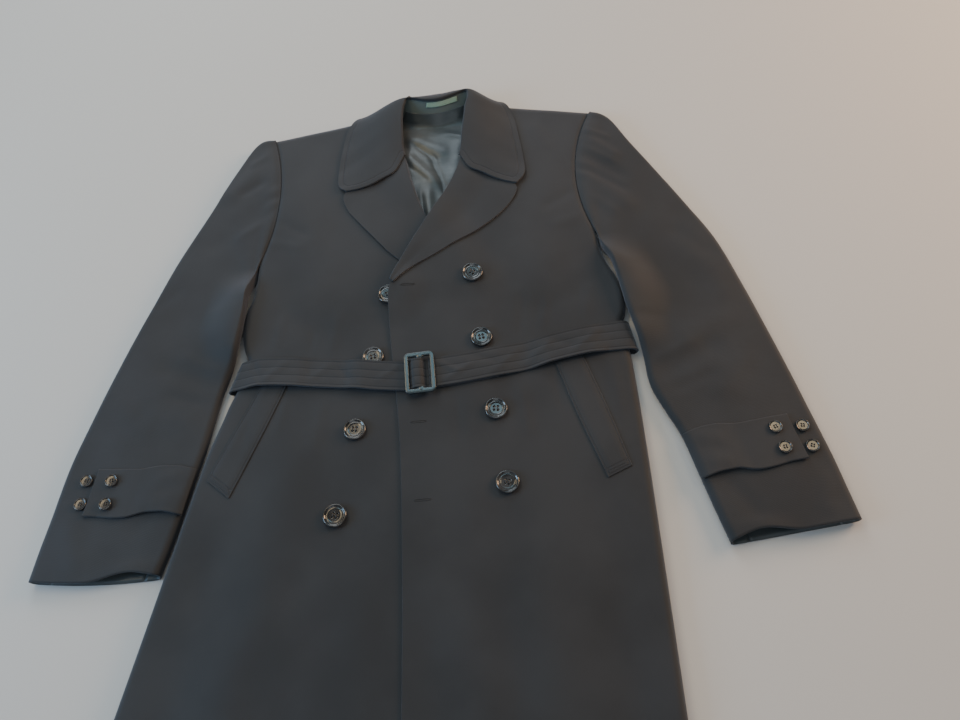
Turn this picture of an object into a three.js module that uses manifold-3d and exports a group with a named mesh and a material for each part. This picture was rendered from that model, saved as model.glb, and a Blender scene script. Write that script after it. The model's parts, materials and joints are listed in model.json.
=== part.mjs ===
// Men's double-breasted belted coat, laid flat on its back on the surface z = 0.
// Millimetres, +Z up, +Y towards the collar, +X towards the wearer's left side.
// Tables are written in the cutter's frame: x from the middle of the coat, y from the fold
// of the collar at the back of the neck. The last lines move the whole coat so that the
// origin is the middle of the bottom face of its box.

import * as THREE from 'three';
import { mergeVertices } from 'three/addons/utils/BufferGeometryUtils.js';
import Module from 'manifold-3d';

const wasm = await Module();
wasm.setup();

// ---------------------------------------------------------------- driving sizes
const CLOTH = 2.0; // wall of every layer of coat cloth
const SEAM = 0.3; // gap between pieces that are sewn together
const REST = 0.5; // gap under a piece that lies on a curved panel
const LAYER = CLOTH + REST; // height that one more layer of cloth adds
const SIDE_ROUND = 9; // rounding of the body's side folds
const SHOULDER_ROUND = 14; // rounding of the body along the shoulder seams
const SLEEVE_ROUND = 8; // rounding of a sleeve's two folds
const UNDER_STRIP = 22; // width of top sleeve that turns under at each fold
const BUTTON = { radius: 14, height: 4.4, hole: 1.3, spread: 3.1, sides: 14 };
const CUFF_BUTTON = { radius: 7.8, height: 3.0, hole: 0.8, spread: 1.8, sides: 10 };
const BELT = { half: 19.8, cloth: 2.2, standOff: 3.6 };
const BUCKLE = { x: -4.5, y: -453.8, wide: 38, high: 56, rail: 5.5, deep: 4, turn: 4.5, lean: 1.6 };
const BUCKLE_EDGES = { bevel: 0.9, outerCorner: 2.2, innerCorner: 1.6, seat: 5.8 };
const BUCKLE_BAR = { wide: 4, deep: 1.6, x: -2.4, into: 3 }; // the bar that the belt covers
const BUCKLE_STUB = { radius: 3.2, deep: 2.4, x: 1, y: 1.4, z: 2.0, sides: 8 };
const OVERLAP_START = 6; // how far past the under front's edge the outer one stays level
const OVERLAP_FADE = 62; // distance over which the outer front comes down past the under one
const BREAK_ROLL = { above: 5, below: 34, high: LAYER + 0.6 }; // at the break of the left lapel
const HIDDEN_BUTTON = { x: -47, y: -333, half: 14, fall: 42, high: 4.4 }; // it lifts the front
const SLEEVE_REST = { above: 4, below: 50, beltTop: -398, beltBottom: -452, fade: 46 };
const COLLAR_REST = { reach: 8, round: 22 }; // the shoulder as the collar lies on it
const COLLAR_FALL = { power: 1.8, lipDrop: 3.2 }; // how steeply the collar leaves its fold
const LAPEL_ROLL = { share: 0.55, lipGap: 0.6 }; // how far the roll of a lapel reaches
const STRAP_WAVE = { high: 1.2, turns: 9 }; // along a cuff strap's lower edge
const LIP = 2.4; // how far a rolled edge stands out past its fold
const BODY_HALF = 260; // half the body's width at the waist
const STRIP = { from: 7.2, to: 9.2, top: 0.07, bottom: 0.25, wall: 1 }; // on the collar stand
const STAND_DROP = 4.8; // how far the collar stand ends under the fold
const ROLL_SHARES = [-1, -0.6, 0, 0.12, 0.3, 0.52, 0.76, 1]; // from the lip to the free edge

const SIDES = {
  right: {
    sign: -1,
    shoulder: { x: -238, y: -33 },
    underarm: { x: -235, y: -278 },
    armholeBow: 20.5,
    outline: [
      { y: -278, x: -235 },
      { y: -305, x: -237 },
      { y: -325, x: -238.5 },
      { y: -345, x: -245 },
      { y: -375, x: -246 },
      { y: -398, x: -240 },
      { y: -425, x: -231 },
      { y: -484, x: -250 },
      { y: -555, x: -269 },
      { y: -700, x: -296 },
      { y: -880, x: -331 },
      { y: -1078, x: -370 },
    ],
  },
  left: {
    sign: 1,
    shoulder: { x: 240, y: -25 },
    underarm: { x: 231, y: -258 },
    armholeBow: 26.5,
    outline: [
      { y: -258, x: 231 },
      { y: -285, x: 236.2 },
      { y: -305, x: 243 },
      { y: -322, x: 251 },
      { y: -350, x: 258 },
      { y: -376, x: 255.5 },
      { y: -390, x: 250.6 },
      { y: -440, x: 257 },
      { y: -520, x: 261 },
      { y: -680, x: 265 },
      { y: -880, x: 269 },
      { y: -1080, x: 272 },
    ],
  },
};

const SHOULDER_LINE = [
  { x: -238, y: -33 },
  { x: -66, y: 0 },
  { x: 84, y: 8 },
  { x: 240, y: -25 },
];
const NECKLINE = { x: 9, half: 75, dip: 28 };

// height of the upper face of a single front over the floor
const LOFT = [
  { y: 60, z: 13 },
  { y: -60, z: 15.5 },
  { y: -180, z: 17 },
  { y: -330, z: 17 },
  { y: -400, z: 14.8 },
  { y: -485, z: 14.8 },
  { y: -560, z: 17 },
  { y: -800, z: 17.5 },
  { y: -1090, z: 13.5 },
];

// long soft folds of the body: a ridge or trough from one point to another
const BODY_FOLDS = [
  { x1: -150, y1: -500, x2: -215, y2: -1075, wide: 34, high: 3.4 },
  { x1: -232, y1: -620, x2: -300, y2: -1080, wide: 30, high: -3.0 },
  { x1: 130, y1: -640, x2: 150, y2: -1075, wide: 36, high: 3.2 },
  { x1: 214, y1: -660, x2: 222, y2: -1080, wide: 28, high: -2.6 },
  { x1: -185, y1: -140, x2: -150, y2: -330, wide: 30, high: 1.6 },
  { x1: 178, y1: -120, x2: 150, y2: -330, wide: 32, high: 1.8 },
  { x1: -120, y1: -385, x2: -200, y2: -350, wide: 16, high: -1.4 },
  { x1: 130, y1: -372, x2: 215, y2: -340, wide: 16, high: -1.4 },
];

// folds and puckers of the sleeves
const SLEEVE_FOLDS = [
  { x1: -250, y1: -90, x2: -300, y2: -150, wide: 15, high: 2.2 },
  { x1: -236, y1: -160, x2: -300, y2: -235, wide: 20, high: -2.0 },
  { x1: -270, y1: -452, x2: -345, y2: -420, wide: 15, high: -2.2 },
  { x1: -280, y1: -500, x2: -350, y2: -490, wide: 17, high: 1.8 },
  { x1: -395, y1: -400, x2: -330, y2: -250, wide: 22, high: 1.8 },
  { x1: 232, y1: -84, x2: 272, y2: -122, wide: 9, high: 1.8 },
  { x1: 226, y1: -118, x2: 278, y2: -160, wide: 10, high: -1.6 },
  { x1: 222, y1: -158, x2: 285, y2: -215, wide: 14, high: 2.0 },
  { x1: 285, y1: -470, x2: 360, y2: -430, wide: 15, high: -2.4 },
  { x1: 300, y1: -430, x2: 385, y2: -390, wide: 18, high: 1.8 },
  { x1: 395, y1: -390, x2: 345, y2: -255, wide: 22, high: 1.8 },
];

// ------------------------------------------------------------------ the tables
// front sections from the shoulder seam down to the hem: the inner edge is the neckline,
// then the roll line of the lapel, then the straight front edge
const FRONT_RIGHT = [
  { innerX: -66, innerY: 0, outerY: -33 },
  { innerX: -60, innerY: -32, outerY: -68 },
  { innerX: -48, innerY: -72, outerY: -108 },
  { innerX: -35, innerY: -101, outerY: -146 },
  { innerX: -26, innerY: -139, outerY: -184 },
  { innerX: -8, innerY: -196, outerY: -224 },
  { innerX: 14, innerY: -242, outerY: -278 },
  { innerX: 46, innerY: -308, outerY: -328 },
  { innerX: 50, innerY: -372, outerY: -378 },
  { innerX: 49, innerY: -430, outerY: -428 },
  { innerX: 48, innerY: -484, outerY: -482 },
  { innerX: 46, innerY: -560, outerY: -555 },
  { innerX: 44, innerY: -710, outerY: -700 },
  { innerX: 42, innerY: -900, outerY: -888 },
  { innerX: 40, innerY: -1092, outerY: -1078 },
];
const FRONT_LEFT = [
  { innerX: 84, innerY: 8, outerY: -25 },
  { innerX: 76, innerY: -32, outerY: -62 },
  { innerX: 63, innerY: -74, outerY: -103 },
  { innerX: 49, innerY: -102, outerY: -146 },
  { innerX: 41, innerY: -130, outerY: -186 },
  { innerX: 25, innerY: -168, outerY: -222 },
  { innerX: 0, innerY: -216, outerY: -258 },
  { innerX: -22, innerY: -258, outerY: -300 },
  { innerX: -47, innerY: -318, outerY: -346 },
  { innerX: -47, innerY: -372, outerY: -390 },
  { innerX: -41, innerY: -428, outerY: -438 },
  { innerX: -34, innerY: -482, outerY: -490 },
  { innerX: -26, innerY: -560, outerY: -560 },
  { innerX: -19, innerY: -700, outerY: -695 },
  { innerX: -14, innerY: -890, outerY: -885 },
  { innerX: -8, innerY: -1094, outerY: -1080 },
];
const BREAK_Y = -318; // where the left lapel starts to roll

// back sections; shape is how far a section follows the neck and shoulders
const BACK = [
  { leftY: -25, rightY: -33, shape: 1 },
  { leftY: -58, rightY: -66, shape: 0.75 },
  { leftY: -100, rightY: -108, shape: 0.4 },
  { leftY: -148, rightY: -156, shape: 0.15 },
  { leftY: -200, rightY: -210, shape: 0 },
  { leftY: -258, rightY: -278, shape: 0 },
  { leftY: -310, rightY: -335, shape: 0 },
  { leftY: -362, rightY: -391, shape: 0 },
  { leftY: -387, rightY: -416, shape: 0 },
  { leftY: -437, rightY: -466, shape: 0 },
  { leftY: -462, rightY: -491, shape: 0 },
  { leftY: -560, rightY: -580, shape: 0 },
  { leftY: -700, rightY: -710, shape: 0 },
  { leftY: -880, rightY: -885, shape: 0 },
  { leftY: -1076, rightY: -1074, shape: 0 },
];
// the belt's stretch under the back, and the hump that the cloth makes over it
const BELT_UNDER = { rightX: -245, rightY: -441, leftX: 262, leftY: -412 };
const HUMP = { high: 2.6, fall: 25, frontReach: 38, backReach: 26 };

// sleeve sections from the armhole to the cuff; bow curves a section towards the body
const SLEEVE_RIGHT = [
  { outerX: -238.8, outerY: -33, innerX: -236, innerY: -278.5, bow: 20.5, thick: 17 },
  { outerX: -264, outerY: -43, innerX: -237.6, innerY: -300, bow: 7, thick: 17 },
  { outerX: -290, outerY: -95, innerX: -239.6, innerY: -326, bow: 4, thick: 17 },
  { outerX: -317, outerY: -161, innerX: -239.5, innerY: -356, bow: 2, thick: 15 },
  { outerX: -354, outerY: -252, innerX: -243.5, innerY: -408, bow: 0, thick: 14 },
  { outerX: -381, outerY: -338, innerX: -257, innerY: -454, bow: 0, thick: 14.5 },
  { outerX: -406, outerY: -419, innerX: -264, innerY: -500, bow: 0, thick: 15 },
  { outerX: -429, outerY: -508, innerX: -269, innerY: -536, bow: 0, thick: 15 },
  { outerX: -439, outerY: -556, innerX: -274, innerY: -563, bow: 0, thick: 15 },
  { outerX: -446, outerY: -615, innerX: -284, innerY: -619, bow: 0, thick: 15 },
  { outerX: -451, outerY: -652, innerX: -291, innerY: -655, bow: -1, thick: 15 },
  { outerX: -455, outerY: -689, innerX: -299, innerY: -689, bow: -4, thick: 15 },
];
const SLEEVE_LEFT = [
  { outerX: 240.9, outerY: -25, innerX: 232, innerY: -258.5, bow: 26.5, thick: 17 },
  { outerX: 266, outerY: -42, innerX: 236.0, innerY: -280, bow: 10, thick: 17 },
  { outerX: 290, outerY: -88, innerX: 244.2, innerY: -305, bow: 5, thick: 17 },
  { outerX: 322, outerY: -146, innerX: 250.5, innerY: -338, bow: 2, thick: 15 },
  { outerX: 356, outerY: -210, innerX: 256, innerY: -372, bow: 0, thick: 14 },
  { outerX: 385, outerY: -270, innerX: 264, innerY: -405, bow: 0, thick: 14 },
  { outerX: 406, outerY: -339, innerX: 271, innerY: -440, bow: 0, thick: 14.5 },
  { outerX: 425, outerY: -410, innerX: 275, innerY: -480, bow: 0, thick: 15 },
  { outerX: 441, outerY: -474, innerX: 289, innerY: -516, bow: 0, thick: 15 },
  { outerX: 453, outerY: -525, innerX: 303, innerY: -548, bow: 0, thick: 15 },
  { outerX: 466, outerY: -580, innerX: 318, innerY: -603, bow: 0, thick: 15 },
  { outerX: 473, outerY: -617, innerX: 328, innerY: -640, bow: 0, thick: 15 },
  { outerX: 480, outerY: -654, innerX: 338, innerY: -675, bow: 0, thick: 15 },
];
// the upper edge of a cuff's mouth
const CUFF_ARCH = { rise: 9, lift: 2.5, at: 0.76, half: 0.34, sections: 0.8 };

// straps: sections of the sleeve between which they lie, and how far out they start
const CUFF_STRAPS = {
  right: { top: 8, bottom: 9, start: 0.26 },
  left: { top: 9, bottom: 10, start: 0.2 },
};

// collar stations from the right gorge round the neck to the left gorge: the fold and the
// free edge; under is the height of the lapel that a station lies on
const COLLAR = [
  { foldX: -35, foldY: -98, foldZ: 27, edgeX: -119, edgeY: -153, bow: 15, under: LAYER },
  { foldX: -38, foldY: -82, foldZ: 29, edgeX: -130, edgeY: -141, bow: 6, under: LAYER },
  { foldX: -39, foldY: -62, foldZ: 32, edgeX: -132, edgeY: -113, bow: 0, under: 0 },
  { foldX: -40, foldY: -36, foldZ: 35, edgeX: -130, edgeY: -78, bow: 0, under: 0 },
  { foldX: -39, foldY: -12, foldZ: 37, edgeX: -125, edgeY: -36, bow: 0, under: 0 },
  { foldX: -34, foldY: 5, foldZ: 38, edgeX: -108, edgeY: 0, bow: 0, under: 0 },
  { foldX: -24, foldY: 5, foldZ: 38, edgeX: -66, edgeY: 24, bow: 0, under: 0 },
  { foldX: -6, foldY: 1, foldZ: 38, edgeX: -26, edgeY: 39, bow: 0, under: 0 },
  { foldX: 16, foldY: 1, foldZ: 38, edgeX: 16, edgeY: 45, bow: 0, under: 0 },
  { foldX: 38, foldY: 8, foldZ: 38, edgeX: 50, edgeY: 45, bow: 0, under: 0 },
  { foldX: 57, foldY: 14, foldZ: 38, edgeX: 86, edgeY: 28, bow: 0, under: 0 },
  { foldX: 61, foldY: 4, foldZ: 38, edgeX: 113, edgeY: 4, bow: 0, under: 0 },
  { foldX: 57, foldY: -16, foldZ: 37, edgeX: 126, edgeY: -28, bow: 0, under: 0 },
  { foldX: 54, foldY: -42, foldZ: 35, edgeX: 132, edgeY: -66, bow: 0, under: 0 },
  { foldX: 51, foldY: -68, foldZ: 32, edgeX: 137, edgeY: -108, bow: 0, under: 0 },
  { foldX: 49, foldY: -88, foldZ: 29, edgeX: 138, edgeY: -142, bow: 6, under: LAYER },
  { foldX: 46, foldY: -104, foldZ: 27, edgeX: 126, edgeY: -160, bow: 13, under: LAYER },
];

// lapel stations from the gorge to the break: the roll line, the free edge and how high
// the roll stands over the front that it turns back on
const LAPEL_RIGHT = [
  { rollY: -95, edgeX: -115, edgeY: -147, bow: 14, loft: 6 },
  { rollY: -122, edgeX: -122, edgeY: -163, bow: 2, loft: 6 },
  { rollY: -160, edgeX: -114, edgeY: -186, bow: 0, loft: 4 },
  { rollY: -196, edgeX: -97, edgeY: -209, bow: 0, loft: 0.8 },
  { rollY: -230, edgeX: -75, edgeY: -236, bow: 0, loft: 0 },
  { rollY: -261, edgeX: -48, edgeY: -268, bow: 0, loft: 0 },
  { rollY: -290, edgeX: -12, edgeY: -296, bow: 0, loft: 0 },
  { rollY: -306, edgeX: 30, edgeY: -309, bow: 0, loft: 0 },
];
const LAPEL_LEFT = [
  { rollY: -99, edgeX: 121, edgeY: -153, bow: 11, loft: 6 },
  { rollY: -130, edgeX: 126, edgeY: -169, bow: 2, loft: 6 },
  { rollY: -162, edgeX: 117, edgeY: -190, bow: 0, loft: 5 },
  { rollY: -189, edgeX: 98, edgeY: -213, bow: 0, loft: 4 },
  { rollY: -216, edgeX: 72, edgeY: -234, bow: 0, loft: 3 },
  { rollY: -238, edgeX: 42, edgeY: -255, bow: 0, loft: 2.5 },
  { rollY: -261, edgeX: 11, edgeY: -276, bow: 0, loft: 2 },
  { rollY: -288, edgeX: -19, edgeY: -295, bow: 0, loft: 1.4 },
  { rollY: -315, edgeX: -43, edgeY: -319, bow: 0, loft: 0.6 },
];

const POCKET_WELTS = {
  right: [
    { outerX: -197, outerY: -432, innerX: -166, innerY: -430 },
    { outerX: -228, outerY: -505, innerX: -197, innerY: -522 },
    { outerX: -258, outerY: -579, innerX: -228, innerY: -602 },
  ],
  left: [
    { outerX: 190, outerY: -418, innerX: 155, innerY: -420 },
    { outerX: 217, outerY: -500, innerX: 183, innerY: -512 },
    { outerX: 241, outerY: -584, innerX: 213, innerY: -597 },
  ],
};

// lining in the open neck, from the back-neck seam down to the crossing of the lapels
const LINING = [
  { y: -28, leftX: 64, rightX: -46 },
  { y: -70, leftX: 70, rightX: -54 },
  { y: -120, leftX: 60, rightX: -46 },
  { y: -175, leftX: 42, rightX: -30 },
  { y: -238, leftX: 18, rightX: -4 },
];
const LINING_DIP = 6; // how far the back-neck seam hangs down in the middle
const LINING_FOLDS = [
  { x1: -28, y1: -62, x2: 40, y2: -118, wide: 7, high: 3.2 },
  { x1: -32, y1: -92, x2: 22, y2: -158, wide: 6, high: 2.8 },
  { x1: -4, y1: -44, x2: 46, y2: -72, wide: 7, high: 2.4 },
  { x1: -18, y1: -130, x2: 12, y2: -196, wide: 6, high: 2.4 },
];

const BUTTONS = [
  { name: 'button_left_1', on: 'front_left', x: 62, y: -309 },
  { name: 'button_left_2', on: 'front_left', x: 72, y: -405 },
  { name: 'button_left_3', on: 'front_left', x: 88, y: -505 },
  { name: 'button_left_4', on: 'front_left', x: 99, y: -598 },
  { name: 'button_right_1', on: 'front_right', x: -50, y: -332 },
  { name: 'button_right_2', on: 'front_right', x: -66, y: -424 },
  { name: 'button_right_3', on: 'front_right', x: -83, y: -523 },
  { name: 'button_right_4', on: 'front_right', x: -99, y: -629 },
];
const CUFF_BUTTONS = [
  { name: 'cuff_button_right_1', on: 'cuff_strap_right', x: -376, y: -574 },
  { name: 'cuff_button_right_2', on: 'cuff_strap_right', x: -377, y: -603 },
  { name: 'cuff_button_right_3', on: 'top_sleeve_right', x: -409, y: -572 },
  { name: 'cuff_button_right_4', on: 'top_sleeve_right', x: -410, y: -601 },
  { name: 'cuff_button_left_1', on: 'cuff_strap_left', x: 407, y: -546 },
  { name: 'cuff_button_left_2', on: 'cuff_strap_left', x: 413, y: -571 },
  { name: 'cuff_button_left_3', on: 'top_sleeve_left', x: 438, y: -545 },
  { name: 'cuff_button_left_4', on: 'top_sleeve_left', x: 444, y: -570 },
];

// belt: middle line of the stretch over the fronts, and what it passes over there
const BELT_LINE = [
  { x: -250, y: -441 },
  { x: -211, y: -438 },
  { x: -158, y: -441 },
  { x: -106, y: -446 },
  { x: -27, y: -455 },
  { x: 16, y: -452 },
  { x: 58, y: -447 },
  { x: 96, y: -440 },
  { x: 133, y: -433 },
  { x: 171, y: -424 },
  { x: 209, y: -417 },
  { x: 262, y: -411 },
];
const BELT_BUMPS = [
  { x: -187, half: 24, fall: 22, high: LAYER },
  { x: -66, half: 15, fall: 24, high: BUTTON.height + REST },
  { x: 177, half: 24, fall: 22, high: LAYER },
];
const BELT_STEP = { from: -84, to: -48 }; // where the belt climbs onto the outer front
const BELT_CROSSING = { from: 55, to: 49 + OVERLAP_FADE }; // where it comes down again
const BELT_RISE = 2.9; // the belt's outer face over the front, away from the buckle
const BELT_SLACK = {
  right: { from: 50, to: 110 },
  left: { from: 118, to: 160, endFrom: -240, endTo: -215 },
}; // the stretches whose lower edge stands off
// turns of the belt: x along it, z of its outer face over the floor, lean of the fold
const BELT_LEFT_TURN = [
  { x: 250, z: 17.6, lean: 3 },
  { x: 257.5, z: 15.5, lean: 4 },
  { x: 262, z: 10.5, lean: 4 },
  { x: 262, z: 5, lean: 4 },
  { x: 259, z: 1.2, lean: 4 },
  { x: 253, z: 0, lean: 3 },
];
const BELT_RIGHT_TURN = [
  { x: -236, z: 0, lean: -4 },
  { x: -242.5, z: 1.2, lean: -5 },
  { x: -245.5, z: 5, lean: -5.5 },
  { x: -245.5, z: 10.5, lean: -5.5 },
  { x: -241, z: 15.5, lean: -5 },
  { x: -233, z: 17.6, lean: -4 },
];
// belt at the buckle: height of its outer face over the front it lies on
const BELT_FREE_END = [
  { x: -60, z: 2.7 },
  { x: -30, z: 4.8 },
  { x: -18.4, z: 5.2 },
  { x: -15.2, z: 7.2 },
  { x: -13, z: 9.6 },
  { x: -10, z: 10.6 },
  { x: -5, z: 10.6 },
  { x: -1.8, z: 9.3 },
  { x: 0.6, z: 6.0 },
  { x: 2.6, z: 3.5 },
  { x: 5, z: 2.9 },
  { x: 12, z: 2.8 },
  { x: 50, z: 2.8 },
  { x: 92, z: 2.8 },
];
const BELT_FIXED_END = [
  { x: 6.4, z: 5.3 },
  { x: 17, z: 5.4 },
  { x: 50, z: 5.5 },
  { x: 94, z: 5.5 },
  { x: 125, z: 2.7 },
];

// ------------------------------------------------------------------- functions
const clamp01 = (t) => Math.min(Math.max(t, 0), 1);
const mix = (a, b, t) => a + (b - a) * t;

/** 0 before from, 1 past to, with a soft start and end. */
function ramp(value, from, to) {
  const t = clamp01((value - from) / (to - from));
  return t * t * (3 - 2 * t);
}

/** Quarter ellipse: 0 at a fold, 1 from the radius on. */
const roundOff = (distance, radius) => Math.sqrt(1 - (1 - clamp01(distance / radius)) ** 2);

/** 1 within half of the middle, falling softly to 0 over fall. */
const bump = (distance, half, fall) => 1 - ramp(Math.abs(distance), half, half + fall);

/**
 * Value of one column between the rows of a table: a cubic through the rows, each with the
 * slope of its neighbours. The place is a row number, or a value of the key column.
 */
function read(rows, column, place, key) {
  const knot = (i) => (key ? rows[i][key] : i);
  const last = rows.length - 1;
  const way = Math.sign(knot(last) - knot(0));
  let i = 0;
  while (i < last - 1 && (place - knot(i + 1)) * way > 0) i += 1;
  const slope = (k) => {
    const before = Math.max(k - 1, 0);
    const after = Math.min(k + 1, last);
    return (rows[after][column] - rows[before][column]) / (knot(after) - knot(before));
  };
  const span = knot(i + 1) - knot(i);
  const t = clamp01((place - knot(i)) / span);
  const start = rows[i][column];
  const end = rows[i + 1][column];
  const rise = end - start;
  const a = slope(i) * span;
  const b = slope(i + 1) * span;
  return start + a * t + (3 * rise - 2 * a - b) * t * t + (a + b - 2 * rise) * t ** 3;
}

/** Height that a table of folds adds at a point: a soft ridge along each line. */
function foldsAt(folds, x, y) {
  let height = 0;
  for (const fold of folds) {
    const alongX = fold.x2 - fold.x1;
    const alongY = fold.y2 - fold.y1;
    const length = Math.hypot(alongX, alongY);
    const t = ((x - fold.x1) * alongX + (y - fold.y1) * alongY) / length ** 2;
    const off = ((x - fold.x1) * alongY - (y - fold.y1) * alongX) / length;
    const end = ramp(t, -0.2, 0.3) * (1 - ramp(t, 0.8, 1.2));
    height += fold.high * end * Math.exp(-((off / fold.wide) ** 2));
  }
  return height;
}

/** Side of the body at a height: the armhole above the underarm, the outline below it. */
function edgeX(side, y) {
  const { shoulder, underarm, armholeBow, outline, sign } = side;
  if (y < underarm.y) return read(outline, 'x', y, 'y');
  const t = clamp01((shoulder.y - y) / (shoulder.y - underarm.y));
  return mix(shoulder.x, underarm.x, t) - sign * armholeBow * 4 * t * (1 - t);
}

/** Upper face of the coat over a point, for a front on its own or for the outer front. */
function topAt(x, y, outer) {
  let z = read(LOFT, 'z', y, 'y') + foldsAt(BODY_FOLDS, x, y);
  if (outer) {
    const underEdge = read(FRONT_RIGHT, 'innerX', y, 'innerY');
    const over = 1 - ramp(x, underEdge + OVERLAP_START, underEdge + OVERLAP_FADE);
    z += LAYER * over;
    const inRoll = ramp(y, BREAK_Y - BREAK_ROLL.below, BREAK_Y + BREAK_ROLL.above);
    z += BREAK_ROLL.high * over * inRoll;
    const apart = Math.hypot(x - HIDDEN_BUTTON.x, y - HIDDEN_BUTTON.y);
    z += HIDDEN_BUTTON.high * bump(apart, HIDDEN_BUTTON.half, HIDDEN_BUTTON.fall);
  }
  return z;
}

/** Middle line of the belt under the back. */
function beltUnderY(x) {
  const { rightX, rightY, leftX, leftY } = BELT_UNDER;
  return mix(rightY, leftY, (x - rightX) / (leftX - rightX));
}

/** How far the back stands off the floor over the belt; reach widens the level part. */
const humpAt = (x, y, reach) => HUMP.high * bump(y - beltUnderY(x), reach, HUMP.fall);

/** Distance from the shoulder seam, towards the hem. */
const belowShoulder = (x, y) => read(SHOULDER_LINE, 'y', x, 'x') - y;

/** One point of the upper face of a front panel. */
function frontPoint(table, side, outer, section, across) {
  const innerX = read(table, 'innerX', section);
  const innerY = read(table, 'innerY', section);
  const outerY = read(table, 'outerY', section);
  const outerX = edgeX(side, outerY);
  const x = mix(innerX, outerX, across);
  const y = mix(innerY, outerY, across);
  const width = Math.hypot(outerX - innerX, outerY - innerY);
  const innerWay = Math.hypot(innerX - table[0].innerX, innerY - table[0].innerY);
  const outerWay = Math.hypot(outerX - side.shoulder.x, outerY - side.shoulder.y);
  const fromTop = section < 1 ? mix(innerWay, outerWay, across) : SHOULDER_ROUND;
  const sideRound = roundOff((1 - across) * width, SIDE_ROUND);
  const sideWeight = ramp(outerY, side.underarm.y + 14, side.underarm.y - 14);
  const round = roundOff(fromTop, SHOULDER_ROUND) * mix(1, sideRound, sideWeight);
  const seam = CLOTH + 2 * SEAM + humpAt(x, y, HUMP.frontReach);
  return new THREE.Vector3(x, y, seam + (topAt(x, y, outer) - seam) * round);
}

/** Height of a sleeve's lower layer, where the sleeve lies on the body's side. */
function sleeveLift(side, x, y) {
  const { above, below, beltTop, beltBottom, fade } = SLEEVE_REST;
  const fromUnderarm = ramp(y, side.underarm.y + above, side.underarm.y - below);
  const over = fromUnderarm * (1 - ramp(y, beltTop, beltBottom));
  const reach = Math.abs(x) - Math.abs(edgeX(side, y));
  return (topAt(x, y, false) + REST) * over * (1 - ramp(reach, 0, fade));
}

/** One point of a sleeve: across runs from the outer fold to the inner one. */
function sleevePoint(table, side, section, across, upper) {
  const outerX = read(table, 'outerX', section);
  const outerY = read(table, 'outerY', section);
  const chordX = read(table, 'innerX', section) - outerX;
  const chordY = read(table, 'innerY', section) - outerY;
  const width = Math.hypot(chordX, chordY);
  const bow = read(table, 'bow', section) * 4 * across * (1 - across);
  const x = outerX + chordX * across + (side.sign * chordY * bow) / width;
  let y = outerY + chordY * across - (side.sign * chordX * bow) / width;
  const lift = sleeveLift(side, x, y);
  const half = read(table, 'thick', section) / 2;
  const round = roundOff(Math.min(across, 1 - across) * width, SLEEVE_ROUND);
  if (!upper) return new THREE.Vector3(x, y, lift + half * (1 - round));
  const last = table.length - 1;
  const nearMouth = ramp(section, last - CUFF_ARCH.sections, last);
  const arch = bump(across - CUFF_ARCH.at, 0, CUFF_ARCH.half) * nearMouth;
  y += CUFF_ARCH.rise * arch;
  const folds = foldsAt(SLEEVE_FOLDS, x, y);
  return new THREE.Vector3(x, y, lift + half + (half + folds) * round + CUFF_ARCH.lift * arch);
}

/**
 * Closed wall: a grid of points as its outer face, and the same grid moved in. Columns
 * that upright picks are moved straight up, so that walls meet in upright edges. The outer
 * face looks up (facing 1) or down (facing -1) at the middle of the row named by seenAt.
 */
function wall(rows, columns, pointAt, thickness, options = {}) {
  const { facing = 1, upright = () => false, seenAt = Math.round(rows.length / 2) } = options;
  const outer = rows.map((row) => columns.map((column) => pointAt(row, column)));
  const lastRow = rows.length - 1;
  const lastColumn = columns.length - 1;
  const normalAt = (i, j) => {
    const down = outer[Math.min(i + 1, lastRow)][j].clone().sub(outer[Math.max(i - 1, 0)][j]);
    const over = outer[i][Math.min(j + 1, lastColumn)].clone().sub(outer[i][Math.max(j - 1, 0)]);
    return down.cross(over).normalize();
  };
  const middle = normalAt(seenAt, Math.round(lastColumn / 2));
  const turn = Math.sign(middle.z) * facing;
  const inwardAt = (i, j) => {
    if (upright(columns[j])) return new THREE.Vector3(0, 0, 1);
    return normalAt(i, j).multiplyScalar(-turn);
  };
  const inner = outer.map((row, i) => row.map((point, j) => (
    point.clone().addScaledVector(inwardAt(i, j), thickness)
  )));
  const wide = columns.length;
  const count = rows.length * wide;
  const index = [];
  const quad = (a, b, c, d) => index.push(a, b, c, a, c, d);
  for (let i = 0; i < lastRow; i += 1) {
    for (let j = 0; j < lastColumn; j += 1) {
      const a = i * wide + j;
      quad(a, a + wide, a + wide + 1, a + 1);
      quad(count + a, count + a + 1, count + a + wide + 1, count + a + wide);
    }
  }
  const rim = [];
  for (let j = 0; j < lastColumn; j += 1) rim.push(j);
  for (let i = 0; i < lastRow; i += 1) rim.push(i * wide + lastColumn);
  for (let j = lastColumn; j > 0; j -= 1) rim.push(lastRow * wide + j);
  for (let i = lastRow; i > 0; i -= 1) rim.push(i * wide);
  rim.forEach((a, k) => {
    const b = rim[(k + 1) % rim.length];
    quad(a, b, count + b, count + a);
  });
  return solid([...outer.flat(), ...inner.flat()], index);
}

/** Geometry of a closed body, with its faces turned outwards. */
function solid(points, index) {
  let volume = 0;
  for (let i = 0; i < index.length; i += 3) {
    const [a, b, c] = [points[index[i]], points[index[i + 1]], points[index[i + 2]]];
    volume += a.clone().cross(b).dot(c);
  }
  if (volume < 0) index.reverse();
  const geometry = new THREE.BufferGeometry().setFromPoints(points);
  geometry.setIndex(index);
  geometry.computeVertexNormals();
  return geometry;
}

/** Numbers from a to b in equal steps. */
const spread = (a, b, count) => Array.from({ length: count }, (_, i) => mix(a, b, i / (count - 1)));

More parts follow.
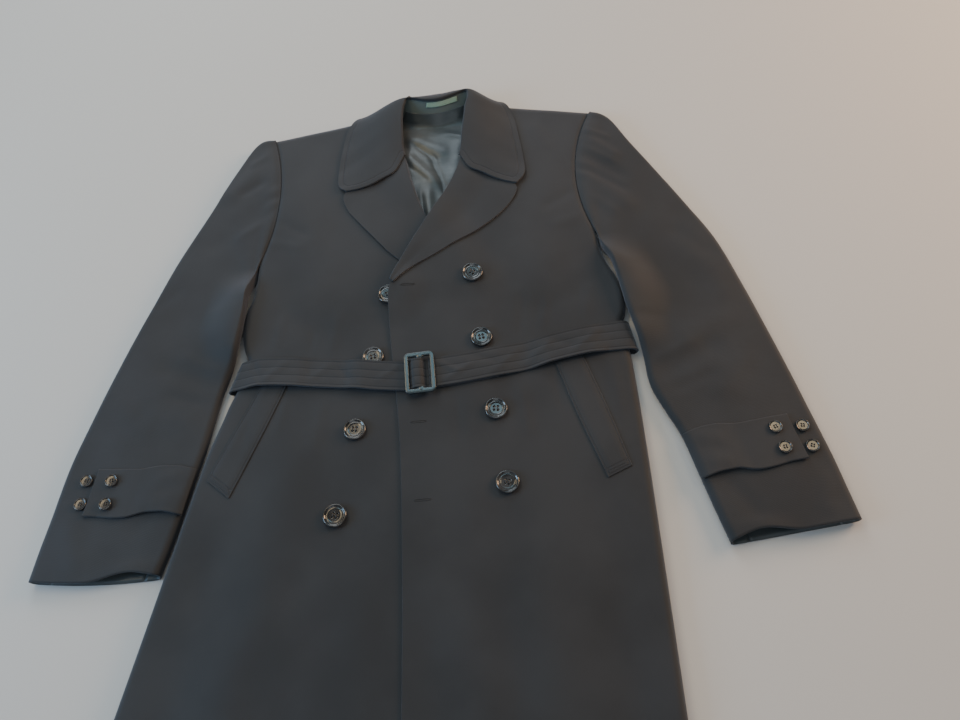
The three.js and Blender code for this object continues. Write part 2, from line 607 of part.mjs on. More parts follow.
/** A three.js geometry as a manifold solid. */
function toManifold(geometry) {
  const bare = geometry.clone();
  bare.deleteAttribute('normal');
  bare.deleteAttribute('uv');
  const merged = mergeVertices(bare, 1e-4);
  return new wasm.Manifold(new wasm.Mesh({
    numProp: 3,
    vertProperties: new Float32Array(merged.attributes.position.array),
    triVerts: new Uint32Array(merged.index.array),
  }));
}

/** A manifold solid as a three.js geometry. */
function fromManifold(body) {
  const { vertProperties, triVerts } = body.getMesh();
  const geometry = new THREE.BufferGeometry();
  geometry.setAttribute('position', new THREE.BufferAttribute(vertProperties, 3));
  geometry.setIndex(new THREE.BufferAttribute(triVerts, 1));
  geometry.computeVertexNormals();
  return geometry;
}

// -------------------------------------------------------------------- finishes
const finish = (color, roughness, metalness = 0) => (
  new THREE.MeshStandardMaterial({ color, roughness, metalness })
);
const cloth = finish(0x3a3c41, 0.85);
const underCloth = finish(0x33363c, 0.85);
const satin = finish(0x6e787d, 0.4);
const strip = finish(0xa7bfae, 0.6);
const horn = finish(0x2b2c2e, 0.25);
const plastic = finish(0x15181f, 0.18);

const coat = new THREE.Group();

/** Adds one named piece to the coat. */
function addPiece(name, geometry, material) {
  const mesh = new THREE.Mesh(geometry, material);
  mesh.name = name;
  coat.add(mesh);
  return mesh;
}

const ray = new THREE.Raycaster();
/** Point of a piece's upper face straight under a place in plan, if it reaches there. */
function dropOnto(name, x, y) {
  ray.set(new THREE.Vector3(x, y, 200), new THREE.Vector3(0, 0, -1));
  return ray.intersectObject(coat.getObjectByName(name))[0]?.point;
}

/** Height of a front's upper face, as built and as worked out, whichever is more. */
function frontHeight(name, x, y) {
  return Math.max(dropOnto(name, x, y)?.z ?? 0, topAt(x, y, name === 'front_left'));
}

// ---------------------------------------------------------------------- fronts
const SHOULDER_ROWS = [0, 0.03, 0.12, 0.25, 0.42, 0.7];

/** A front panel, from its inner edge to the armhole and the side seam. */
function makeFront(name, table, side, outer) {
  const sections = [...SHOULDER_ROWS, ...spread(1, table.length - 1, 2 * table.length - 3)];
  const nearSide = [0.6, 2.6, 5.5, 9].map((distance) => 1 - distance / BODY_HALF);
  const columns = [...spread(0, 0.93, 9), ...nearSide.reverse(), 1];
  const pointAt = (section, across) => frontPoint(table, side, outer, section, across);
  return addPiece(name, wall(sections, columns, pointAt, CLOTH), cloth);
}
makeFront('front_right', FRONT_RIGHT, SIDES.right, false);
makeFront('front_left', FRONT_LEFT, SIDES.left, true);

// ------------------------------------------------------------------------ back
/** The back panel: flat on the floor, up over the belt that passes under it. */
function backPoint(section, across) {
  const leftY = read(BACK, 'leftY', section);
  const rightY = read(BACK, 'rightY', section);
  const x = mix(edgeX(SIDES.right, rightY), edgeX(SIDES.left, leftY), across);
  const chord = mix(SIDES.right.shoulder.y, SIDES.left.shoulder.y, across);
  const dip = NECKLINE.dip * roundOff(1 - Math.min(Math.abs(x - NECKLINE.x) / NECKLINE.half, 1), 1);
  const topY = read(SHOULDER_LINE, 'y', x, 'x') - dip;
  const follow = read(BACK, 'shape', section) * (topY - chord);
  const y = mix(rightY, leftY, across) + follow;
  return new THREE.Vector3(x, y, CLOTH + humpAt(x, y, HUMP.backReach));
}
const backColumns = [...spread(0, 0.3, 3), ...spread(0.36, 0.68, 7), ...spread(0.76, 1, 3)];
const backRows = [...spread(0, 5, 11), ...spread(6, BACK.length - 1, BACK.length - 6)];
addPiece('back', wall(backRows, backColumns, backPoint, CLOTH), underCloth);

// --------------------------------------------------------------------- sleeves
/** The ring of a sleeve as steps: how far in from a fold, on which layer. */
function ringSteps(turnedUnder) {
  const curve = [0, 1.1, 4, SLEEVE_ROUND];
  const under = turnedUnder ? [UNDER_STRIP] : [];
  const steps = [];
  [...curve.slice(1), ...under].reverse().forEach((d) => steps.push({ d, upper: false }));
  curve.forEach((d) => steps.push({ d, upper: true }));
  for (const share of [0.2, 0.4, 0.6, 0.8]) steps.push({ share, upper: true });
  [...curve].reverse().forEach((d) => steps.push({ d, fromInner: true, upper: true }));
  [...curve.slice(1), ...under].forEach((d) => steps.push({ d, fromInner: true, upper: false }));
  return steps;
}

/** A sleeve in two pieces: the top sleeve turns under at both folds. */
function makeSleeve(name, table, side) {
  const widthAt = (section) => Math.hypot(
    read(table, 'innerX', section) - read(table, 'outerX', section),
    read(table, 'innerY', section) - read(table, 'outerY', section),
  );
  const shareOf = (section, step) => {
    if (step.share !== undefined) return step.share;
    const slack = (step.slack ?? 0) * (1 - ramp(section, 1, 3));
    const share = (step.d + slack) / widthAt(section);
    return step.fromInner ? 1 - share : share;
  };
  const last = table.length - 1;
  const sections = [...spread(0, 2, 5), ...spread(2.6, last, Math.round(1.6 * (last - 2)))];
  const ringPoint = (section, step) => (
    sleevePoint(table, side, section, shareOf(section, step), step.upper)
  );
  const underStrip = (step) => !step.upper && step.d !== 1.1 && step.d !== 4;
  const top = wall(sections, ringSteps(true), ringPoint, CLOTH, { upright: underStrip });
  addPiece(`top_sleeve_${name}`, top, cloth);
  const strips = [
    { d: UNDER_STRIP + SEAM, upper: false },
    ...[0.32, 0.5, 0.68].map((share) => ({ share, upper: false })),
    { d: UNDER_STRIP + SEAM, slack: 8, fromInner: true, upper: false },
  ];
  const under = wall(sections, strips, ringPoint, CLOTH, { facing: -1, upright: underStrip });
  addPiece(`under_sleeve_${name}`, under, underCloth);
}
makeSleeve('right', SLEEVE_RIGHT, SIDES.right);
makeSleeve('left', SLEEVE_LEFT, SIDES.left);

/** A cuff strap: the sleeve's own points moved out, from its free end to the inner seam. */
function makeStrap(name, table, side) {
  const strap = CUFF_STRAPS[name];
  const lift = REST + CLOTH;
  const step = 0.004;
  const pointAt = (section, across) => {
    const at = (s, a) => sleevePoint(table, side, s, a, true);
    const point = at(section, across);
    const down = at(section + step, across).sub(at(section - step, across));
    const over = at(section, Math.min(across + step, 1)).sub(at(section, across - step));
    const normal = down.cross(over).normalize();
    const ripple = Math.abs(Math.sin(across * STRAP_WAVE.turns));
    const wave = STRAP_WAVE.high * (section - strap.top) ** 3 * ripple;
    return point.addScaledVector(normal, -side.sign * (lift + wave));
  };
  const columns = [...spread(strap.start, 0.94, 9), 0.965, 0.988];
  const rows = spread(strap.top, strap.bottom, 5);
  addPiece(`cuff_strap_${name}`, wall(rows, columns, pointAt, CLOTH), cloth);
}
makeStrap('right', SLEEVE_RIGHT, SIDES.right);
makeStrap('left', SLEEVE_LEFT, SIDES.left);

// ---------------------------------------------------------------------- collar
/** Height under the collar: the fronts, with a wide soft shoulder. */
function collarFloor(x, y) {
  const seam = CLOTH + SEAM;
  const below = belowShoulder(x, y) + COLLAR_REST.reach;
  return seam + (topAt(x, y, false) - seam) * roundOff(below, COLLAR_REST.round);
}

/** A point between two ends in plan, bowed to one side. */
function bowed(fromX, fromY, toX, toY, share, bow) {
  const length = Math.hypot(toX - fromX, toY - fromY);
  const out = (bow * 4 * share * (1 - share)) / length;
  return {
    x: mix(fromX, toX, share) - (toY - fromY) * out,
    y: mix(fromY, toY, share) + (toX - fromX) * out,
  };
}

/** The collar's fall: a lip inside the fold, the fold, then down to the free edge. */
function collarPoint(station, share) {
  const foldX = read(COLLAR, 'foldX', station);
  const foldY = read(COLLAR, 'foldY', station);
  const foldZ = read(COLLAR, 'foldZ', station);
  const edgeAtX = read(COLLAR, 'edgeX', station);
  const edgeAtY = read(COLLAR, 'edgeY', station);
  const way = station < (COLLAR.length - 1) / 2 ? 1 : -1;
  const bow = read(COLLAR, 'bow', station) * way;
  if (share < 0) {
    const length = Math.hypot(edgeAtX - foldX, edgeAtY - foldY);
    const inward = (-share * LIP) / length;
    const x = foldX - (edgeAtX - foldX) * inward;
    const y = foldY - (edgeAtY - foldY) * inward;
    return new THREE.Vector3(x, y, foldZ - COLLAR_FALL.lipDrop * share * share);
  }
  const { x, y } = bowed(foldX, foldY, edgeAtX, edgeAtY, share, bow);
  const floor = collarFloor(x, y) + LAYER + Math.max(read(COLLAR, 'under', station), 0);
  const fall = Math.cos((share * Math.PI) / 2) ** COLLAR_FALL.power;
  return new THREE.Vector3(x, y, floor + (foldZ - floor) * fall);
}
const collarStations = spread(0, COLLAR.length - 1, 29);
addPiece('collar', wall(collarStations, ROLL_SHARES, collarPoint, CLOTH), cloth);

// neck seam under the collar stand, station by station with the collar
const NECK_SEAM = [
  { x: -40, y: -97, z: 20 },
  { x: -46, y: -84, z: 19.5 },
  { x: -52, y: -66, z: 19 },
  { x: -60, y: -42, z: 18.6 },
  { x: -65, y: -18, z: 17.6 },
  { x: -62, y: -2, z: 9 },
  { x: -42, y: -13, z: 4.6 },
  { x: -16, y: -21, z: 4.6 },
  { x: 12, y: -23.5, z: 4.6 },
  { x: 38, y: -18, z: 4.6 },
  { x: 62, y: -7, z: 5.5 },
  { x: 79, y: 4, z: 12 },
  { x: 80, y: -20, z: 19 },
  { x: 75, y: -46, z: 18.8 },
  { x: 66, y: -72, z: 19.2 },
  { x: 59, y: -88, z: 19.6 },
  { x: 52, y: -102, z: 20 },
];

/** The collar stand: from just under the fold down to the neck seam. */
function standPoint(station, share) {
  const foldX = read(COLLAR, 'foldX', station);
  const foldY = read(COLLAR, 'foldY', station);
  const foldZ = read(COLLAR, 'foldZ', station) - STAND_DROP;
  const x = mix(foldX, read(NECK_SEAM, 'x', station), share);
  const y = mix(foldY, read(NECK_SEAM, 'y', station), share);
  return new THREE.Vector3(x, y, mix(foldZ, read(NECK_SEAM, 'z', station), share));
}
addPiece('collar_stand', wall(spread(1, 15, 25), spread(0, 1, 4), standPoint, CLOTH), underCloth);

// --------------------------------------------------------------------- lapels
/** A lapel turned back on its front, with a lip round the roll line. */
function makeLapel(name, table, front, frontName) {
  const way = front === FRONT_LEFT ? -1 : 1;
  const pointAt = (station, share) => {
    const rollY = read(table, 'rollY', station);
    const rollX = read(front, 'innerX', rollY, 'innerY');
    const edgeAtX = read(table, 'edgeX', station);
    const edgeAtY = read(table, 'edgeY', station);
    const loft = read(table, 'loft', station);
    if (share < 0) {
      const length = Math.hypot(edgeAtX - rollX, edgeAtY - rollY);
      const inward = (-share * LIP) / length;
      const x = rollX - (edgeAtX - rollX) * inward;
      const y = rollY - (edgeAtY - rollY) * inward;
      const drop = (LAYER + loft - LAPEL_ROLL.lipGap) * share * share;
      return new THREE.Vector3(x, y, frontHeight(frontName, rollX, rollY) + LAYER + loft - drop);
    }
    const bow = read(table, 'bow', station) * way;
    const { x, y } = bowed(rollX, rollY, edgeAtX, edgeAtY, share, bow);
    const roll = loft * (1 - ramp(share, 0, LAPEL_ROLL.share));
    return new THREE.Vector3(x, y, frontHeight(frontName, x, y) + LAYER + roll);
  };
  const stations = spread(0, table.length - 1, 2 * table.length - 1);
  addPiece(name, wall(stations, ROLL_SHARES, pointAt, CLOTH), cloth);
}
makeLapel('lapel_right', LAPEL_RIGHT, FRONT_RIGHT, 'front_right');
makeLapel('lapel_left', LAPEL_LEFT, FRONT_LEFT, 'front_left');

// --------------------------------------------------------------------- lining
/** The lining that shows in the neck, creased where it has slipped down. */
function liningPoint(section, across) {
  const y = read(LINING, 'y', section);
  const x = mix(read(LINING, 'rightX', section), read(LINING, 'leftX', section), across);
  const dip = LINING_DIP * Math.max(1 - section, 0) * (1 - 4 * (across - 0.5) ** 2);
  const crease = foldsAt(LINING_FOLDS, x, y - dip);
  return new THREE.Vector3(x, y - dip, 2 * CLOTH + SEAM + Math.max(crease, 0));
}
addPiece('lining', wall(spread(0, 4, 15), spread(0, 1, 9), liningPoint, CLOTH), satin);

/** The hanger strip, sewn to the inside of the stand: the stand's own points moved out. */
function stripPoint(along, down) {
  const station = mix(STRIP.from, STRIP.to, along);
  const share = mix(STRIP.top, STRIP.bottom, down);
  const step = 0.05;
  const over = standPoint(station + step, share).sub(standPoint(station - step, share));
  const under = standPoint(station, share + step).sub(standPoint(station, share - step));
  const normal = over.cross(under).normalize();
  const out = (SEAM + STRIP.wall) * (Math.sign(-normal.y) || 1);
  return standPoint(station, share).addScaledVector(normal, out);
}
addPiece('hanger_strip', wall(spread(0, 1, 9), [0, 1], stripPoint, STRIP.wall), strip);

// --------------------------------------------------------------- pocket welts
/** A slanted welt on its front, made from the front's height moved out. */
function makeWelt(name, table, frontName) {
  const pointAt = (section, across) => {
    const x = mix(read(table, 'outerX', section), read(table, 'innerX', section), across);
    const y = mix(read(table, 'outerY', section), read(table, 'innerY', section), across);
    return new THREE.Vector3(x, y, frontHeight(frontName, x, y) + LAYER);
  };
  addPiece(name, wall(spread(0, 2, 11), spread(0, 1, 3), pointAt, CLOTH), cloth);
}
makeWelt('pocket_welt_right', POCKET_WELTS.right, 'front_right');
makeWelt('pocket_welt_left', POCKET_WELTS.left, 'front_left');

// ------------------------------------------------------------------------ belt
/** Height of what the belt lies on, at a place along it. */
function beltFloor(x) {
  const y = read(BELT_LINE, 'y', x, 'x');
  const step = LAYER * ramp(x, BELT_STEP.from, BELT_STEP.to);
  const bumps = BELT_BUMPS.map((b) => b.high * bump(x - b.x, b.half, b.fall));
  const single = read(LOFT, 'z', y + 8, 'y');
  const crossing = LAYER * (1 - ramp(x, BELT_CROSSING.from, BELT_CROSSING.to));
  return single + Math.max(...bumps, x < 0 ? step : crossing);
}

/** The belt's stations, from the hidden tip of the free end round to the fixed end. */
function beltStations() {
  const stations = [];
  const over = (x, z, stand) => {
    const y = read(BELT_LINE, 'y', x, 'x');
    const lean = BUCKLE.lean * bump(x - BUCKLE.x, 22, 40);
    stations.push({ x, y, z: beltFloor(x) + z, lean, stand });
  };
  const { right, left } = BELT_SLACK;
  [...BELT_FREE_END].reverse().forEach((row) => over(row.x, row.z, 0));
  spread(-78, -214, 13).forEach((x) => over(x, BELT_RISE, ramp(-x, right.from, right.to)));
  [...BELT_RIGHT_TURN].reverse().forEach((row) => {
    stations.push({ ...row, y: beltUnderY(row.x), stand: 0 });
  });
  spread(-190, 205, 6).forEach((x) => {
    stations.push({ x, y: beltUnderY(x), z: 0, lean: 0, stand: 0 });
  });
  [...BELT_LEFT_TURN].reverse().forEach((row) => {
    stations.push({ ...row, y: beltUnderY(row.x), stand: 0 });
  });
  spread(232, 142, 9).forEach((x) => {
    over(x, BELT_RISE, ramp(x, left.from, left.to) * ramp(-x, left.endFrom, left.endTo));
  });
  [...BELT_FIXED_END].reverse().forEach((row) => over(row.x, row.z, 0));
  return stations;
}
const beltPath = beltStations();
const beltPoint = (i, w) => {
  const { x, y, z, lean, stand } = beltPath[i];
  const lower = ((w + 1) / 2) ** 2;
  return new THREE.Vector3(x + lean * w, y - BELT.half * w, z + stand * BELT.standOff * lower);
};
const beltRows = beltPath.map((_, i) => i);
addPiece('belt', wall(beltRows, [-1, -0.33, 0.33, 1], beltPoint, BELT.cloth, { seenAt: 0 }), cloth);

// ---------------------------------------------------------------------- buckle
/** A rounded rectangle about the origin. */
function roundedRect(target, wide, high, radius) {
  const x = wide / 2;
  const y = high / 2;
  target.moveTo(-x + radius, -y);
  target.lineTo(x - radius, -y);
  target.absarc(x - radius, -y + radius, radius, -Math.PI / 2, 0, false);
  target.lineTo(x, y - radius);
  target.absarc(x - radius, y - radius, radius, 0, Math.PI / 2, false);
  target.lineTo(-x + radius, y);
  target.absarc(-x + radius, y - radius, radius, Math.PI / 2, Math.PI, false);
  target.lineTo(-x, -y + radius);
  target.absarc(-x + radius, -y + radius, radius, Math.PI, 1.5 * Math.PI, false);
  return target;
}

/** The buckle: a bevelled frame with a thin middle bar that the belt covers. */
function makeBuckle() {
  const { wide, high, rail, deep } = BUCKLE;
  const { bevel, outerCorner, innerCorner, seat } = BUCKLE_EDGES;
  const outside = [wide - 2 * bevel, high - 2 * bevel, outerCorner];
  const window = [wide - 2 * rail, high - 2 * rail - 1, innerCorner];
  const frame = roundedRect(new THREE.Shape(), ...outside);
  frame.holes.push(roundedRect(new THREE.Path(), ...window));
  const body = new THREE.ExtrudeGeometry(frame, {
    depth: deep - 2 * bevel,
    bevelThickness: bevel,
    bevelSize: bevel,
    bevelSegments: 1,
    curveSegments: 2,
  });
  body.translate(0, 0, bevel);
  const reach = high - 2 * rail + BUCKLE_BAR.into;
  const bar = new THREE.BoxGeometry(BUCKLE_BAR.wide, reach, BUCKLE_BAR.deep);
  bar.translate(BUCKLE_BAR.x, 0, BUCKLE_BAR.deep / 2);
  let whole = toManifold(body).add(toManifold(bar));
  const { radius, x, y, z, sides } = BUCKLE_STUB;
  for (const end of [-1, 1]) {
    const stub = new THREE.CylinderGeometry(radius, radius, BUCKLE_STUB.deep, sides);
    stub.rotateX(Math.PI / 2).translate(x, end * (high / 2 - rail + y), z);
    whole = whole.add(toManifold(stub));
  }
  const geometry = fromManifold(whole);
  geometry.rotateZ(THREE.MathUtils.degToRad(BUCKLE.turn));
  geometry.translate(BUCKLE.x, BUCKLE.y, beltFloor(BUCKLE.x) + seat);
  return geometry;
}
addPiece('buckle', makeBuckle(), plastic);

// --------------------------------------------------------------------- buttons
/** A four-hole button with a raised rim, its flat back at z = 0. */
function buttonGeometry({ radius, height, hole, spread: apart, sides }) {
  const profile = [
    [0, 0],
    [radius - 2, 0],
    [radius, height * 0.45],
    [radius * 0.9, height],
    [radius * 0.74, height * 0.72],
    [0, height * 0.66],
  ].map(([r, z]) => new THREE.Vector2(r, z));
  const disc = new THREE.LatheGeometry(profile, sides).rotateX(Math.PI / 2);
  let body = toManifold(disc);
  for (const [x, y] of [[1, 1], [1, -1], [-1, 1], [-1, -1]]) {
    const drill = new THREE.CylinderGeometry(hole, hole, 3 * height, 4).rotateX(Math.PI / 2);
    drill.translate((x * apart) / 1.4, (y * apart) / 1.4, height / 2);
    body = body.subtract(toManifold(drill));
  }
  return fromManifold(body);
}

/** Seats a button on the piece it is sewn to, level with the cloth under its rim. */
function seatButton(row, size) {
  const rim = spread(0, 2 * Math.PI, 9).slice(0, 8).map((turn) => dropOnto(
    row.on,
    row.x + size.radius * Math.cos(turn),
    row.y + size.radius * Math.sin(turn),
  ));
  const middle = dropOnto(row.on, row.x, row.y);
  const normal = new THREE.Vector3();
  rim.forEach((point, i) => {
    const next = rim[(i + 2) % rim.length];
    normal.add(point.clone().sub(middle).cross(next.clone().sub(middle)));
  });
  normal.normalize();
  const rise = Math.max(...[middle, ...rim].map((point) => point.clone().sub(middle).dot(normal)));
  const mesh = addPiece(row.name, buttonGeometry(size), horn);
  mesh.quaternion.setFromUnitVectors(new THREE.Vector3(0, 0, 1), normal);
  mesh.position.copy(middle).addScaledVector(normal, rise + SEAM);
}
BUTTONS.forEach((row) => seatButton(row, BUTTON));
CUFF_BUTTONS.forEach((row) => seatButton(row, CUFF_BUTTON));

// ------------------------------------------------------------------- placement
const box = new THREE.Box3().setFromObject(coat);
const middle = box.getCenter(new THREE.Vector3());
coat.position.set(-middle.x, -middle.y, -box.min.z);

const model = new THREE.Group();
model.add(coat);
export default model;
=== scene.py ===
"""Dresses the double-breasted belted coat, laid flat on its back.

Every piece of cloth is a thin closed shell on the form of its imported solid. Shapes are worked out in
millimetres in the cutter's frame: x from the middle of the coat towards the wearer's left, y from the
collar's fold at the back of the neck towards it, z up from the floor. They are moved to the row's frame,
in metres, when their mesh is made.
"""

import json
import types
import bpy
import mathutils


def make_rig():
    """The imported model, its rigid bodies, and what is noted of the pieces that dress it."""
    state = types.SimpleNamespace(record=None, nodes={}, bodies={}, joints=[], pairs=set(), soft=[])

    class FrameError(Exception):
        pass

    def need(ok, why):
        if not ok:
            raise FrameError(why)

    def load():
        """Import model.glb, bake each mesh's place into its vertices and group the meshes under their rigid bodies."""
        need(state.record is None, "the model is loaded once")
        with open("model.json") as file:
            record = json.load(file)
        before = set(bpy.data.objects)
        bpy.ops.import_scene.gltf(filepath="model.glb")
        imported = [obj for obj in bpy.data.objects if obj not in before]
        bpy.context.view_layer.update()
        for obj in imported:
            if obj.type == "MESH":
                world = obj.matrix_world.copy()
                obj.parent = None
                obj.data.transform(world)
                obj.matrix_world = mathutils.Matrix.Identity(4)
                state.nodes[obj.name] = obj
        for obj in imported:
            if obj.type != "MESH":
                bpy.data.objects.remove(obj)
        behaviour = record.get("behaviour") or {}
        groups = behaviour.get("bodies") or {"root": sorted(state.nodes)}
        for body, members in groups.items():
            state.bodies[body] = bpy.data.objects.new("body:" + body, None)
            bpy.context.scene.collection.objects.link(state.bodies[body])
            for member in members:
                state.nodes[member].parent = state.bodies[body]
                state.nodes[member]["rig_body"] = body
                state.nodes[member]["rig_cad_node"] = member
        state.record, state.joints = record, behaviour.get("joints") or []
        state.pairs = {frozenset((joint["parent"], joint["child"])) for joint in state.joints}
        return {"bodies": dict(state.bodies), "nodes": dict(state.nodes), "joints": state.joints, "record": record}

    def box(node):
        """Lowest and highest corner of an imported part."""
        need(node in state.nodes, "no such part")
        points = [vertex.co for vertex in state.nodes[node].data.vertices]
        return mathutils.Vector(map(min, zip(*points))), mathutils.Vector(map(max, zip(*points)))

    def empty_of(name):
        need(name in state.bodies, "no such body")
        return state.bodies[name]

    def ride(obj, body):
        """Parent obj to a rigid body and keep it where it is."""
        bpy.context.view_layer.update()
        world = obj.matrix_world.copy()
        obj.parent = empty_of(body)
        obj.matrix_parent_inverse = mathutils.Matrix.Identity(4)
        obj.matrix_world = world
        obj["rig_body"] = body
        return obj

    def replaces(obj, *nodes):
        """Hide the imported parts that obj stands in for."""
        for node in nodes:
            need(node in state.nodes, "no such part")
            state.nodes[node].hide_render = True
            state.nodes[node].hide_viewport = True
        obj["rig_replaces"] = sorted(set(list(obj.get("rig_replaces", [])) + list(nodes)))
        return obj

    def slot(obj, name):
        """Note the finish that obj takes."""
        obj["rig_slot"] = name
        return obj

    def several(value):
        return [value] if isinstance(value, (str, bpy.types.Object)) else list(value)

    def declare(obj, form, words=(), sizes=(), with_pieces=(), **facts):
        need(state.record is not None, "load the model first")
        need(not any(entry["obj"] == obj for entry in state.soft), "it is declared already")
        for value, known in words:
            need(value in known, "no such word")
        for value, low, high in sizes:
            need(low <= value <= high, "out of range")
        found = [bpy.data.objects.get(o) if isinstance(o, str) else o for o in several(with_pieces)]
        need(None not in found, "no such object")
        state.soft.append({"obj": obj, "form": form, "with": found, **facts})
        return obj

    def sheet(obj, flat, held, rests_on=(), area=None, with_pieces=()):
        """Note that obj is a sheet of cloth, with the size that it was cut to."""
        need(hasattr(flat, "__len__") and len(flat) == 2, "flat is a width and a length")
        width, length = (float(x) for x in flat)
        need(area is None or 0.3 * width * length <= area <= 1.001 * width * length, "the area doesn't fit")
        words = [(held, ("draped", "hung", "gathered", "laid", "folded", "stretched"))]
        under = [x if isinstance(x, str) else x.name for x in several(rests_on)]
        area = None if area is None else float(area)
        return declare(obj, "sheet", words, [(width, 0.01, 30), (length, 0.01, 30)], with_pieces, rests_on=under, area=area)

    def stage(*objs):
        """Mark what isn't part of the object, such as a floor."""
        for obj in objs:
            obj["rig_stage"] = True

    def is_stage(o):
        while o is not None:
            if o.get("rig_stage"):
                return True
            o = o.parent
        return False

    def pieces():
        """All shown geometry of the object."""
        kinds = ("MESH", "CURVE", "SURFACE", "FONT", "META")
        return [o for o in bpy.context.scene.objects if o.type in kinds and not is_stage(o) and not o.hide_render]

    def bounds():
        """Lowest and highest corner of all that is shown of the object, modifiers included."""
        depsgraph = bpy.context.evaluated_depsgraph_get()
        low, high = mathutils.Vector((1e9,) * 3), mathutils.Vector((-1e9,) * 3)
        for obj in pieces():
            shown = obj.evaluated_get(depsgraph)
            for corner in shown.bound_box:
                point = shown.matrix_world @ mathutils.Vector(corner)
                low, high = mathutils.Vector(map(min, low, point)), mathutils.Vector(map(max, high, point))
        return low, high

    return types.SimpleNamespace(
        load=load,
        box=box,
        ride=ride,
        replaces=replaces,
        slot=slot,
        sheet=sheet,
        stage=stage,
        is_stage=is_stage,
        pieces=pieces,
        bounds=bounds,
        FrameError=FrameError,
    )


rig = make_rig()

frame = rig.load()

import json
import logging
import math
from dataclasses import dataclass
from enum import Enum
from typing import Optional, Sequence

import bpy
import numpy as np
from mathutils import Matrix, Vector

log = logging.getLogger("coat")
Array = np.ndarray

CUTTER_TO_ROW = np.array([-12.50, 523.75, 0.0])  # mm from the cutter's frame to the row's frame
FAR = 1000.0  # mm, where a surface has no stitching


class Facing(Enum):
    """The way in which the outer face of a cloth piece looks."""

    UP = 1
    DOWN = -1


# --------------------------------------------------------------------------- tables
class Rows:
    """A short table with named columns, read between its rows by a cubic.

    The cubic goes through each row with the slope of the row's neighbours.
    """

    def __init__(self, names: str, *rows: tuple) -> None:
        """Keeps the columns.

        Args:
            names: the column names, with spaces between.
            rows: one tuple of numbers for each row.
        """
        self.names = names.split()
        self.values = np.array(rows, float)

    def __getitem__(self, name: str) -> Array:
        """One whole column."""
        return self.values[:, self.names.index(name)]

    def __len__(self) -> int:
        """The number of rows."""
        return len(self.values)

    def at(self, name: str, place: Array, key: Optional[str] = None) -> Array:
        """Reads one column at places between the rows.

        Args:
            name: the column.
            place: row numbers, or values of the key column.
            key: a column that rises or falls all the way, or None to go by row number.

        Returns:
            The values, in the shape of place.
        """
        column = self[name]
        knots = np.arange(len(self), dtype=float) if key is None else self[key]
        place = np.asarray(place, float)
        if knots[-1] < knots[0]:
            knots, place = -knots, -place
        slope = np.empty(len(self))
        slope[1:-1] = (column[2:] - column[:-2]) / (knots[2:] - knots[:-2])
        slope[0] = (column[1] - column[0]) / (knots[1] - knots[0])
        slope[-1] = (column[-1] - column[-2]) / (knots[-1] - knots[-2])
        i = np.clip(np.searchsorted(knots, place, side="left") - 1, 0, len(self) - 2)
        span = knots[i + 1] - knots[i]
        t = np.clip((place - knots[i]) / span, 0, 1)
        rise = column[i + 1] - column[i]
        a, b = slope[i] * span, slope[i + 1] * span
        return column[i] + a * t + (3 * rise - 2 * a - b) * t**2 + (a + b - 2 * rise) * t**3


@dataclass(frozen=True)
class Side:
    """One side of the body: its armhole and the outline below it."""

    sign: int
    shoulder: tuple
    underarm: tuple
    armhole_bow: float
    outline: Rows


@dataclass(frozen=True)
class Sizes:
    """Sizes that many pieces share, in millimetres."""

    cloth: float = 2.0
    seam: float = 0.3
    rest: float = 0.5
    layer: float = 2.5
    side_round: float = 9.0
    shoulder_round: float = 14.0
    sleeve_round: float = 8.0
    under_strip: float = 22.0
    overlap_start: float = 6.0
    overlap_fade: float = 62.0
    lip: float = 2.4
    break_y: float = -318.0
    break_below: float = 34.0
    break_above: float = 5.0
    break_rise: float = 0.6


SIZES = Sizes()
RIGHT = Side(
    -1,
    (-238, -33),
    (-235, -278),
    20.5,
    Rows(
        "y x",
        (-278, -235),
        (-305, -237),
        (-325, -238.5),
        (-345, -245),
        (-375, -246),
        (-398, -240),
        (-425, -231),
        (-484, -250),
        (-555, -269),
        (-700, -296),
        (-880, -331),
        (-1078, -370),
    ),
)
LEFT = Side(
    1,
    (240, -25),
    (231, -258),
    26.5,
    Rows(
        "y x",
        (-258, 231),
        (-285, 236.2),
        (-305, 243),
        (-322, 251),
        (-350, 258),
        (-376, 255.5),
        (-390, 250.6),
        (-440, 257),
        (-520, 261),
        (-680, 265),
        (-880, 269),
        (-1080, 272),
    ),
)
# In the classes below, a field called points, or ending so, counts a grid's rows and columns.
FOLD_START = (-0.2, 0.3)  # shares of a fold's length over which it rises
FOLD_END = (0.8, 1.2)  # and over which it dies away
FOLD_CLOSE = (0, 0.01, 0.03)  # shares near a fold, where the points lie closer
EDGE_CLOSE = (0, 0.004, 0.01, 0.02, 0.035)  # the same near a free edge
STITCHED_CLOSE = (0, 0.006, 0.016, 0.03)  # the same near a stitched edge
SHOULDER_LINE = Rows("x y", (-238, -33), (-66, 0), (84, 8), (240, -25))
LOFT = Rows(
    "y z",
    (60, 13),
    (-60, 15.5),
    (-180, 17),
    (-330, 17),
    (-400, 14.8),
    (-485, 14.8),
    (-560, 17),
    (-800, 17.5),
    (-1090, 13.5),
)
DRIFT = Rows(
    "high x_length y_length phase",
    (0.26, 23.0, 61.0, 0),
    (0.24, 41.0, -34.0, 1.3),
    (0.18, 15.0, 27.0, 2.1),
    (0.12, 9.5, -19.0, 0.4),
)
